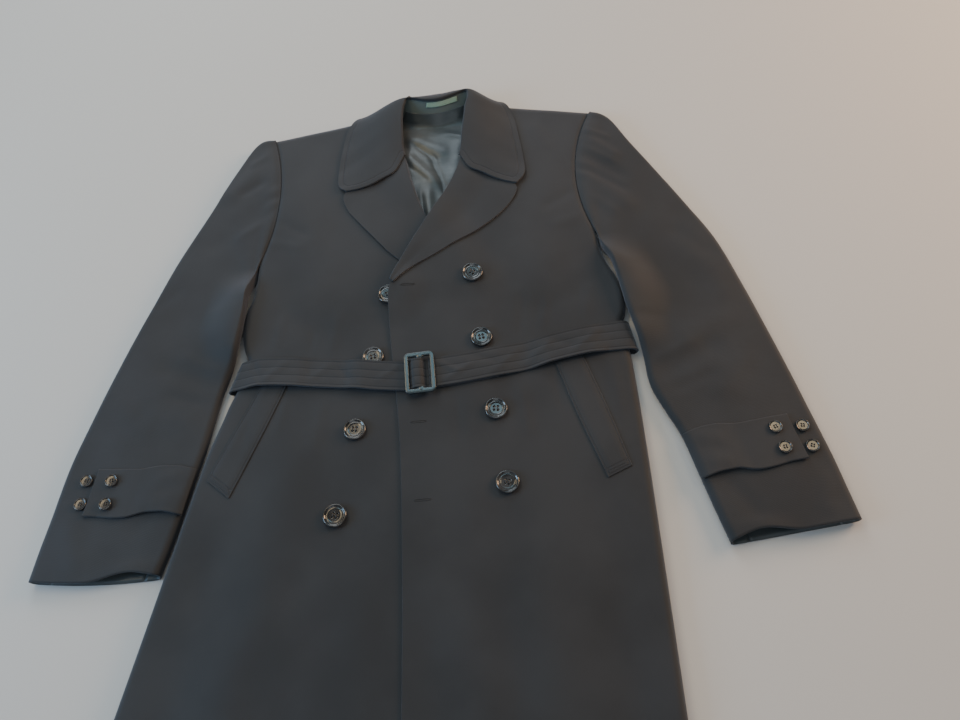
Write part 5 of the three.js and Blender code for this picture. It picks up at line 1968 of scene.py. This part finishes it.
@dataclass
class Lining:
    """The satin that shows in the open neck, creased where it has slipped down."""

    collar: Collar
    flat_points: tuple = (130, 72)
    turned_points: int = 16
    seam_points: int = 240
    top_rise: float = 2.0
    wall: float = 1.0
    base: float = 1.7
    clearance: float = 0.3
    face_gap: float = 0.2
    turn_up: tuple = (0.5, 0.93)
    stations: tuple = (5, 11)
    gather: float = 0.12
    gather_ends: tuple = (-225, -150)
    crease_ends: tuple = (24, 50)
    rustle: tuple = (0.35, 5.5)
    table: Rows = Rows(
        "y left_x right_x",
        (-28, 64, -46),
        (-70, 70, -54),
        (-120, 60, -46),
        (-175, 42, -30),
        (-238, 18, -4),
    )
    folds: Rows = Rows(
        "x1 y1 x2 y2 wide high",
        (-46, -68, 12, -138, 9, 3.6),
        (-30, -46, 28, -84, 12, 2.6),
        (-26, -58, 8, -90, 4.5, -2.2),
        (2, -82, 28, -166, 5, -2.6),
        (44, -54, 36, -132, 9, 2.0),
        (-2, -140, 4, -216, 7, 2.4),
        (-14, -148, -2, -220, 4, -1.6),
        (-34, -98, -4, -130, 3.2, -0.8),
        (-40, -40, -36, -84, 5, -1.4),
        (20, -38, 52, -52, 6, 1.4),
    )

    def flat(self) -> Array:
        """The part over the back: level, with ridges along its folds and faint gathers between.

        Returns:
            The points.
        """
        down, over = self.flat_points
        section = np.linspace(0, len(self.table) - 1, down)[:, None]
        across = np.linspace(0, 1, over)[None, :]
        x = mix(self.table.at("right_x", section), self.table.at("left_x", section), across)
        rise = self.top_rise * (1 - np.minimum(section, 1)) * (1 - 4 * (across - 0.5) ** 2)
        y = self.table.at("y", section) + rise
        waves = np.sin((x + 0.8 * y) / 6.5 + 1.4 * np.sin(y / 19))
        small = self.gather * waves * ramp(y, *self.gather_ends)
        creases = np.maximum(folds_at(self.folds, x, y) + self.base, 0.2)
        z = creases * ramp(-y, *self.crease_ends) + small
        return np.stack([x, y, 2 * SIZES.cloth + SIZES.seam + self.clearance + z], axis=-1)

    def build(self, wardrobe: Wardrobe) -> None:
        """Makes the lining: the flat part, turned up in front of the stand's lower half.

        Args:
            wardrobe: the finishes.
        """
        flat = self.flat()
        stations = np.linspace(*self.stations, self.seam_points)
        station = np.interp(flat[0, :, 0], self.collar.neck_seam.at("x", stations), stations)[None, :]
        share = np.linspace(*self.turn_up, self.turned_points)[:, None]
        up = self.collar.stand_face(station + 0 * share, share, SIZES.seam + self.wall + self.face_gap)
        high, long = self.rustle
        up[..., 2] += high * np.sin(up[..., 0] / long) * ramp(share, self.turn_up[0], 0.8)
        grid = np.concatenate([up, flat])
        lining = Cloth("lining", grid, ["back"], "lining_satin", thickness=self.wall, seen=60)
        lining.build(wardrobe.satin)


@dataclass
class Welt:
    """A slanted pocket welt on its front."""

    name: str
    outer: bool
    table: Rows
    points: tuple = (96, 20)
    end_close: tuple = (0, 0.03)
    edge_stitch: float = 2.0
    end_stitch: float = 9.0
    thickness: float = 1.0
    edge_rise: float = 1.3
    middle_rise: float = 0.9
    pressed: float = 9.0

    def build(self, wardrobe: Wardrobe) -> None:
        """Makes the welt from the front's height moved out, stitched round and again at both ends.

        Args:
            wardrobe: the finishes.
        """
        down, over = self.points
        close = STITCHED_CLOSE[:3]
        section = spaced(down, close, close)[:, None] * (len(self.table) - 1)
        across = spaced(over, self.end_close, self.end_close)[None, :]
        x = mix(self.table.at("outer_x", section), self.table.at("inner_x", section), across)
        y = mix(self.table.at("outer_y", section), self.table.at("inner_y", section), across)
        grid = np.stack([x, y, top_at(x, y, self.outer) + self.edge_rise], axis=-1)
        edge = np.concatenate([grid[0], grid[1:, -1], grid[-1, -2::-1], grid[-2::-1, 0]])
        run, distance = near_edge(grid, edge)
        grid[..., 2] += self.middle_rise * ramp(distance, 0, self.pressed)
        along, over = arc_lengths(grid, 0), arc_lengths(grid, 1)
        from_end = np.minimum(along, along[-1:] - along)
        at_end = np.abs(from_end - self.end_stitch) < np.abs(distance - self.edge_stitch)
        line = np.where(at_end, from_end - self.end_stitch, distance - self.edge_stitch)
        welt = Cloth(self.name, grid, [under(self.outer)], thickness=self.thickness)
        welt.stitch_run, welt.stitch_line = np.where(at_end, over, run), line
        welt.build(wardrobe.coat)


WELTS = (
    Welt(
        "pocket_welt_right",
        False,
        Rows(
            "outer_x outer_y inner_x inner_y",
            (-197, -432, -166, -430),
            (-228, -505, -197, -522),
            (-258, -579, -228, -602),
        ),
    ),
    Welt(
        "pocket_welt_left",
        True,
        Rows(
            "outer_x outer_y inner_x inner_y",
            (190, -418, 155, -420),
            (217, -500, 183, -512),
            (241, -584, 213, -597),
        ),
    ),
)


# ----------------------------------------------------------------------------- belt
@dataclass
class Belt:
    """The belt in one length: hidden tip, over the right front, round the back, and up to the buckle.

    Pairs are the start and end of a soft change along x, or the height and length of a wave. The ways
    over the right front, under the back and over the left front are first x, last x and stations.
    """

    points: tuple = (700, 44)
    right_way: tuple = (-78, -214, 13)
    under_way: tuple = (-190, 205, 6)
    left_way: tuple = (232, 142, 9)
    half: float = 19.8
    cloth: float = 2.2
    stand_off: float = 3.6
    rows: tuple = (-16.6, -5.6, 5.6, 16.6)
    puff: float = 0.26
    puff_width: float = 5.0
    rise: float = 2.9
    step: tuple = (-84.0, -48.0)
    crossing: tuple = (55.0, 49.0)
    lean: tuple = (1.6, -4.5, 22.0, 40.0)
    slack_right: tuple = (50.0, 110.0)
    slack_left: tuple = (118.0, 160.0)
    slack_end: tuple = (-240.0, -215.0)
    loft_above: float = 8.0
    wave: tuple = (0.35, 17.0)
    edge_wave: tuple = (0.5, 31.0)
    front_level: tuple = (14.0, 17.0)
    creases: Rows = Rows(
        "x1 y1 x2 y2 wide high",
        (16, 14, 46, -6, 3.6, 1.0),
        (24, -14, 60, 4, 4.4, 0.9),
        (52, 18, 92, 0, 5.0, -0.8),
        (84, -16, 118, 10, 5.0, 0.7),
        (122, -14, 160, 10, 6.0, 0.9),
        (150, 16, 188, -4, 6.0, -0.7),
        (184, -14, 220, 12, 6.0, 1.0),
        (-30, 14, -58, -8, 4.4, 0.8),
        (-84, -16, -112, 10, 5.0, -0.6),
        (-120, 14, -146, -12, 5.6, 0.7),
        (-176, 14, -204, -14, 6.0, 0.9),
        (-206, -16, -222, 14, 5.0, -0.8),
    )
    line: Rows = Rows(
        "x y",
        (-250, -441),
        (-211, -438),
        (-158, -441),
        (-106, -446),
        (-27, -455),
        (16, -452),
        (58, -447),
        (96, -440),
        (133, -433),
        (171, -424),
        (209, -417),
        (262, -411),
    )
    bumps: Rows = Rows(
        "x half fall high", (-187, 24, 22, 2.5), (-66, 15, 24, 4.9), (177, 24, 22, 2.5)
    )
    left_turn: Rows = Rows(
        "x z lean",
        (250, 17.6, 3),
        (257.5, 15.5, 4),
        (262, 10.5, 4),
        (262, 5, 4),
        (259, 1.2, 4),
        (253, 0, 3),
    )
    right_turn: Rows = Rows(
        "x z lean",
        (-236, 0, -4),
        (-242.5, 1.2, -5),
        (-245.5, 5, -5.5),
        (-245.5, 10.5, -5.5),
        (-241, 15.5, -5),
        (-233, 17.6, -4),
    )
    free_end: Rows = Rows(
        "x z",
        (-60, 2.7),
        (-30, 4.8),
        (-18.4, 5.2),
        (-15.2, 7.2),
        (-13, 9.6),
        (-10, 10.6),
        (-5, 10.6),
        (-1.8, 9.3),
        (0.6, 6.0),
        (2.6, 3.5),
        (5, 2.9),
        (12, 2.8),
        (50, 2.8),
        (92, 2.8),
    )
    fixed_end: Rows = Rows("x z", (6.4, 5.3), (17, 5.4), (50, 5.5), (94, 5.5), (125, 2.7))

    def floor(self, x: Array) -> Array:
        """Height of what the belt lies on, at a place along it.

        Args:
            x: places along the belt.

        Returns:
            The heights.
        """
        x = np.asarray(x, float)
        y = self.line.at("y", x, "x")
        step = SIZES.layer * ramp(x, *self.step)
        start, end = self.crossing
        crossing = SIZES.layer * (1 - ramp(x, start, end + SIZES.overlap_fade))
        over = np.where(x < 0, step, crossing)
        for place, half, fall, high in self.bumps.values:
            over = np.maximum(over, hill(x, high, place, half, fall))
        return LOFT.at("z", y + self.loft_above, "y") + over

    def over(self, x: Array, rise: Array, stand: Array) -> Array:
        """Stations over the fronts: x, y, z, lean at the buckle and how far the lower edge stands off."""
        lean = hill(x, *self.lean)
        return np.stack([x, self.line.at("y", x, "x"), self.floor(x) + rise, lean, stand], axis=1)

    def turn(self, rows: Rows) -> Array:
        """Stations round a side fold, from a table in the order of the fixed end to the free one."""
        x = rows["x"][::-1]
        zero = np.zeros(len(x))
        return np.stack([x, PASSAGE.middle_y(x), rows["z"][::-1], rows["lean"][::-1], zero], axis=1)

    def stations(self) -> Rows:
        """All stations from the hidden tip of the free end round to the fixed end.

        Returns:
            A table with the columns x, y, z, lean and stand.
        """
        tip, fixed = self.free_end.values[::-1], self.fixed_end.values[::-1]
        right = np.linspace(*self.right_way)
        left = np.linspace(*self.left_way)
        near_side = ramp(-left, *self.slack_end)
        under = np.linspace(*self.under_way)
        zero = 0 * under
        rows = np.concatenate(
            [
                self.over(tip[:, 0], tip[:, 1], 0 * tip[:, 0]),
                self.over(right, self.rise + 0 * right, ramp(-right, *self.slack_right)),
                self.turn(self.right_turn),
                np.stack([under, PASSAGE.middle_y(under), zero, zero, zero], axis=1),
                self.turn(self.left_turn),
                self.over(left, self.rise + 0 * left, ramp(left, *self.slack_left) * near_side),
                self.over(fixed[:, 0], fixed[:, 1], 0 * fixed[:, 0]),
            ]
        )
        return Rows("x y z lean stand", *[tuple(row) for row in rows])

    def build(self, wardrobe: Wardrobe) -> None:
        """Makes the belt: the stations' line swept by a flat section whose lower edge stands off.

        Args:
            wardrobe: the finishes.
        """
        path = self.stations()
        down, over = self.points
        place = np.linspace(0, len(path) - 1, down)[:, None]
        w = (2 * spaced(over, STITCHED_CLOSE, STITCHED_CLOSE) - 1)[None, :]
        x, y, z, lean, stand = (path.at(name, place) for name in path.names)
        lower = ((w + 1) / 2) ** 2
        high, long = self.wave
        wave = high * np.sin(x / long) * stand
        high, long = self.edge_wave
        wave = wave + high * np.sin(x / long + 1) * stand * lower
        offsets = np.abs(w[..., None] * self.half - np.array(self.rows)).min(axis=-1)
        line = np.broadcast_to(offsets, np.broadcast(x, w).shape)
        on_front = ramp(z, *self.front_level)
        relief = self.puff * ramp(offsets, 0, self.puff_width) - self.puff
        relief = (relief + folds_at(self.creases, x + 0 * w, 0 * x - self.half * w)) * on_front
        height = z + stand * self.stand_off * lower + wave + relief
        grid = np.stack([x + lean * w, y - self.half * w, height], axis=-1)
        belt = Cloth("belt", grid, ["front_left", "front_right"], thickness=self.cloth, seen=0)
        belt.stitch_line = line
        belt.build(wardrobe.coat)


@dataclass
class Buckle:
    """The buckle: a frame, a flat middle bar and a half-round stub at the middle of each short rail."""

    belt: Belt
    x: float = -4.5
    y: float = -453.8
    wide: float = 38.0
    high: float = 56.0
    rail: float = 5.5
    deep: float = 4.0
    corner: float = 3.4
    turn: float = 4.5
    rise: float = 5.8
    loop_points: int = 240
    corner_points: int = 13
    bar_points: int = 12
    stub_points: int = 21
    sink: float = 0.7
    bar_sink: float = 1.2
    square: float = 0.36
    bar: tuple = (2.0, 0.8)
    bar_at: tuple = (-2.4, 0.8)
    stub: float = 4.3
    stub_deep: float = 1.7
    stub_at: tuple = (1.0, 2.4)

    def frame_path(self) -> Array:
        """Middle line of the frame: a rectangle with rounded corners, in even steps of its angle.

        Returns:
            The points, in the order of a closed loop.
        """
        half_x, half_y = (self.wide - self.rail) / 2, (self.high - self.rail) / 2
        corners = [(1, -1, -90), (1, 1, 0), (-1, 1, 90), (-1, -1, 180)]
        parts = []
        for sign_x, sign_y, start in corners:
            angle = np.radians(start + np.linspace(0, 90, self.corner_points))
            cx, cy = sign_x * (half_x - self.corner), sign_y * (half_y - self.corner)
            parts.append(
                np.stack([cx + self.corner * np.cos(angle), cy + self.corner * np.sin(angle)], axis=1)
            )
        plan = np.concatenate(parts)
        step = np.linalg.norm(np.diff(np.concatenate([plan, plan[:1]]), axis=0), axis=1)
        way = np.concatenate([[0], np.cumsum(step)])
        even = np.linspace(0, way[-1], self.loop_points + 1)[:-1]
        loop = np.concatenate([plan, plan[:1]])
        points = [np.interp(even, way, loop[:, axis]) for axis in (0, 1)]
        return np.stack([*points, np.full(len(even), self.deep / 2)], axis=1)

    def build(self, wardrobe: Wardrobe) -> None:
        """Makes the buckle as one mesh, turned in plan and set over the belt.

        Args:
            wardrobe: the finishes.
        """
        rails = (self.rail / 2, self.deep / 2)
        reach = self.high / 2 - self.rail
        bar_x, bar_z = self.bar_at
        bar_y = np.linspace(-reach - self.bar_sink, reach + self.bar_sink, self.bar_points)
        bar = np.stack([bar_x + 0 * bar_y, bar_y, bar_z + 0 * bar_y], axis=1)
        parts = [swept_tube(self.frame_path(), rails, True, 28, self.square)]
        parts.append(swept_tube(bar, self.bar, False, 12, 0.5))
        turn = np.radians(np.linspace(-89, 89, self.stub_points))
        stub_radii = (self.stub * np.cos(turn), self.stub_deep * np.cos(turn) ** 0.4)
        stub_x, stub_z = self.stub_at
        for end in (-1, 1):
            stub_y = np.full(len(turn), end * (reach + self.sink))
            stub = [stub_x + self.stub * np.sin(turn), stub_y, stub_z + 0 * turn]
            stub = np.stack(stub, axis=1)
            parts.append(swept_tube(stub, stub_radii, False, 20, 0.7))
        points, faces = joined(parts)
        angle = math.radians(self.turn)
        cosine, sine = math.cos(angle), math.sin(angle)
        spin = np.array([[cosine, -sine, 0], [sine, cosine, 0], [0, 0, 1]])
        base = np.array([self.x, self.y, float(self.belt.floor(self.x)) + self.rise])
        buckle = make_object("buckle_moulded", points @ spin.T + base, faces)
        dress(buckle, wardrobe.moulding, "buckle_plastic", "buckle")
        log.info("buckle: %d points", len(points))


# -------------------------------------------------------------------------- buttons
@dataclass(frozen=True)
class ButtonStyle:
    """A four-hole button with a raised rim."""

    radius: float
    height: float
    hole: float
    spread: float
    around: int
    thread: float
    ring: float = 0.0
    face: float = 0.66
    dent: float = 0.45
    arch: float = 0.45
    face_from: int = 9
    rim_rows: int = 10
    rings: int = 26
    thread_points: int = 15

    def profile(self) -> Rows:
        """Section from the middle of the flat back round the rim to the middle of the face.

        Returns:
            A table with the columns r and z.
        """
        r, h = self.radius, self.height
        return Rows(
            "r z",
            (0.02, 0),
            (r * 0.5, 0),
            (r - 2, 0),
            (r - 0.7, 0.2 * h),
            (r, 0.5 * h),
            (r - 0.25, 0.8 * h),
            (r * 0.92, h),
            (r * 0.85, 0.97 * h),
            (r * 0.77, 0.74 * h),
            (r * 0.7, (0.69 - self.ring / 4) * h),
            (r * 0.62, (0.68 + self.ring) * h),
            (r * 0.52, 0.67 * h),
            (r * 0.4, self.face * h),
            (r * 0.2, self.face * h),
            (0.02, self.face * h),
        )

    def shape(self) -> tuple:
        """The button about its own axis: the profile turned round, with a round dent at each hole.

        Returns:
            The points and the face arrays.
        """
        profile = self.profile()
        rim = np.linspace(0, self.rim_rows, self.rings)[:-1]
        steps = np.concatenate([rim, np.linspace(self.rim_rows, len(profile) - 1, self.rings)])
        r, z = profile.at("r", steps)[:, None], profile.at("z", steps)[:, None]
        angle = (np.arange(self.around) * 2 * np.pi / self.around)[None, :]
        x, y = r * np.cos(angle), r * np.sin(angle)
        z = z + 0 * x
        face = (steps > self.face_from)[:, None]
        for turn in np.radians([45, 135, 225, 315]):
            apart = np.hypot(x - self.spread * np.cos(turn), y - self.spread * np.sin(turn))
            hollow = 1 - ramp(apart, self.hole * 0.72, self.hole * 1.1)
            z = z - face * self.dent * self.height * hollow
        rings = np.stack([x, y, z], axis=2)
        count, around = rings.shape[:2]
        poles = np.array([[0, 0, 0.0], [0, 0, z[-1].mean()]])
        faces = [ring_quads(count, around)[:-around], *end_fans(count, around)]
        return np.concatenate([rings.reshape(-1, 3), poles]), faces

    def threads(self) -> tuple:
        """Two bars of thread from hole to hole, each a low arch.

        Returns:
            The points and the face arrays.
        """
        reach = self.spread / math.sqrt(2)
        t = np.linspace(-1, 1, self.thread_points)
        parts = []
        for x in (-reach, reach):
            z = self.face * self.height + self.arch * (1 - t**4) - 0.5 * t**8
            arch = np.stack([x + 0 * t, reach * 1.02 * t, z], axis=1)
            parts.append(swept_tube(arch, (self.thread, self.thread * 0.8), False, 8))
        return joined(parts)


@dataclass
class Buttons:
    """All the buttons, each in the place and lean of its solid, and turned a little on its thread."""

    twist_step: int = 37
    twist_span: int = 50

    coat: ButtonStyle = ButtonStyle(14.0, 4.4, 1.3, 3.1, 72, 0.55, 0.05)
    cuff: ButtonStyle = ButtonStyle(7.8, 3.0, 0.85, 1.9, 56, 0.35)

    def place(self, node: str, style: ButtonStyle) -> tuple:
        """Where a button sits.

        The solid's facets that look most upwards give its lean, and the middle of its box its place.

        Args:
            node: the CAD node.
            style: the button's style.

        Returns:
            A turn as a 3 by 3 array, and the middle of the button's back in mm, in the cutter's frame.
        """
        low, high = (np.array(corner) * 1000 - CUTTER_TO_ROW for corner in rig.box(node))
        solid = frame["nodes"][node]
        mesh = solid.data
        normals = np.empty(3 * len(mesh.polygons))
        areas = np.empty(len(mesh.polygons))
        mesh.polygons.foreach_get("normal", normals)
        mesh.polygons.foreach_get("area", areas)
        normals = normals.reshape(-1, 3)
        down = normals[:, 2] < -0.9
        back = -(normals[down] * areas[down, None]).sum(axis=0)
        back /= np.linalg.norm(back)
        axis = Vector(back)
        spin = np.array(Vector((0, 0, 1)).rotation_difference(axis).to_matrix())
        middle = (low + high) / 2
        return spin, middle - back * style.height / 2

    def build(self, wardrobe: Wardrobe) -> None:
        """Makes a button for each node and all their threads as one piece.

        Args:
            wardrobe: the finishes.
        """
        nodes = [(f"button_{side}_{i}", self.coat) for side in ("left", "right") for i in range(1, 5)]
        nodes += [(f"cuff_button_{side}_{i}", self.cuff) for side in ("left", "right") for i in range(1, 5)]
        threads = []
        for number, (node, style) in enumerate(nodes):
            spin, base = self.place(node, style)
            twist = math.radians(number * self.twist_step % self.twist_span - self.twist_span / 2)
            own = np.array(Matrix.Rotation(twist, 3, "Z"))
            points, faces = style.shape()
            button = make_object(f"{node}_turned", points @ (spin @ own).T + base, faces)
            dress(button, wardrobe.horn, "button_horn", node)
            sewn, sewn_faces = style.threads()
            threads.append((sewn @ (spin @ own).T + base, sewn_faces))
        thread = make_object("button_threads", *joined(threads))
        dress(thread, wardrobe.thread, "coat_cloth")
        log.info("buttons: %d", len(nodes))


# --------------------------------------------------------------------------- studio
@dataclass(frozen=True)
class Lamp:
    """A rectangular area light that looks at the middle of the coat; sizes in metres, power in watts."""

    name: str
    place: tuple
    size: tuple
    power: float
    colour: tuple
    aim: tuple = (0.0, 0.05, 0.0)

    def build(self) -> None:
        """Hangs the lamp."""
        data = bpy.data.lights.new(self.name, "AREA")
        data.shape = "RECTANGLE"
        data.size, data.size_y = self.size
        data.energy, data.color = self.power, self.colour
        lamp = bpy.data.objects.new(self.name, data)
        lamp.location = self.place
        way = Vector(self.aim) - Vector(self.place)
        lamp.rotation_euler = way.to_track_quat("-Z", "Y").to_euler()
        bpy.context.collection.objects.link(lamp)


LAMPS = (
    Lamp("key", (-0.5, 1.75, 1.0), (1.1, 1.1), 13.5, (0.86, 0.94, 1.0)),
    Lamp("warm side", (1.75, 0.85, 0.75), (0.8, 0.8), 28.0, (1.0, 0.62, 0.36)),
    Lamp("cool side", (-1.8, -0.2, 0.8), (0.8, 0.8), 18.5, (0.4, 0.68, 1.0)),
    Lamp("fill", (0.2, -1.1, 1.6), (1.2, 1.2), 6.0, (0.88, 0.94, 1.0)),
    Lamp("lamp left", (-1.05, 0.56, 1.7), (1.4, 0.55), 10.0, (1.0, 0.8, 0.5)),
    Lamp("lamp right", (1.03, 0.6, 1.7), (0.45, 0.45), 3.0, (1.0, 0.8, 0.5)),
    Lamp("lamp back", (-0.05, 1.03, 1.7), (0.8, 0.36), 2.6, (0.5, 0.85, 1.0)),
)


@dataclass
class Studio:
    """A pale floor, soft lights and the camera."""

    lens: float = 28.5
    sensor: float = 36.0
    camera_at: tuple = (0.1255, -0.35935, 0.848)
    right: tuple = (0.9958, -0.0157, -0.0903)
    up: tuple = (0.0564, 0.8816, 0.4685)
    forward: tuple = (-0.0723, 0.4716, -0.8788)
    floor_colour: tuple = (0.62, 0.62, 0.61, 1.0)
    floor_half: float = 4.0
    floor_drop: float = 0.0005
    sky: tuple = (0.95, 0.97, 1.0, 1.0)
    sky_strength: float = 0.17

    def floor(self) -> None:
        """A large pale square just under the coat."""
        h = self.floor_half
        mesh = bpy.data.meshes.new("floor")
        mesh.from_pydata([(-h, -h, 0), (h, -h, 0), (h, h, 0), (-h, h, 0)], [], [(0, 1, 2, 3)])
        plane = bpy.data.objects.new("floor", mesh)
        plane.location.z = -self.floor_drop
        bpy.context.collection.objects.link(plane)
        made, graph, shader = start_material("floor")
        graph.feed(shader, {"Base Color": self.floor_colour, "Roughness": 0.9})
        mesh.materials.append(made)
        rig.stage(plane)

    def build(self) -> None:
        """Sets up the floor, lights, world and camera."""
        self.floor()
        for lamp in LAMPS:
            lamp.build()
        world = bpy.data.worlds.new("studio")
        world.use_nodes = True
        sky = world.node_tree.nodes["Background"]
        sky.inputs[0].default_value = self.sky
        sky.inputs[1].default_value = self.sky_strength
        bpy.context.scene.world = world
        data = bpy.data.cameras.new("camera")
        data.lens, data.sensor_width, data.clip_start = self.lens, self.sensor, 0.01
        camera = bpy.data.objects.new("camera", data)
        axes = [Vector(self.right), Vector(self.up), -Vector(self.forward)]
        turn = Matrix([axis.normalized() for axis in axes]).transposed().to_4x4()
        camera.matrix_world = Matrix.Translation(self.camera_at) @ turn
        bpy.context.collection.objects.link(camera)
        bpy.context.scene.camera = camera


def write_sizes(path: str, name: str, sizes: dict) -> None:
    """Adds one box of the shown object to a file of sizes.

    Args:
        path: the file.
        name: the box's name in it.
        sizes: the boxes so far; the new one is added.
    """
    low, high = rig.bounds()
    sizes[name] = {"low_m": [round(v, 5) for v in low], "high_m": [round(v, 5) for v in high]}
    with open(path, "w", encoding="utf-8") as file:
        json.dump(sizes, file, indent=1)


def main() -> None:
    """Builds the coat piece by piece, then the studio."""
    logging.basicConfig(level=logging.INFO, format="%(name)s %(message)s")
    sizes: dict = {}
    write_sizes("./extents.json", "cad", sizes)
    wardrobe = Wardrobe()
    belt = Belt()
    Back().build(wardrobe)
    Fronts().build(wardrobe)
    SLEEVE_RIGHT.build(wardrobe)
    SLEEVE_LEFT.build(wardrobe)
    collar = Collar()
    collar.build(wardrobe)
    for lapel in LAPELS:
        lapel.build(wardrobe)
    Lining(collar).build(wardrobe)
    for welt in WELTS:
        welt.build(wardrobe)
    belt.build(wardrobe)
    Buckle(belt).build(wardrobe)
    Buttons().build(wardrobe)
    Studio().build()
    write_sizes("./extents.json", "visual", sizes)


if __name__ == "__main__":
    main()
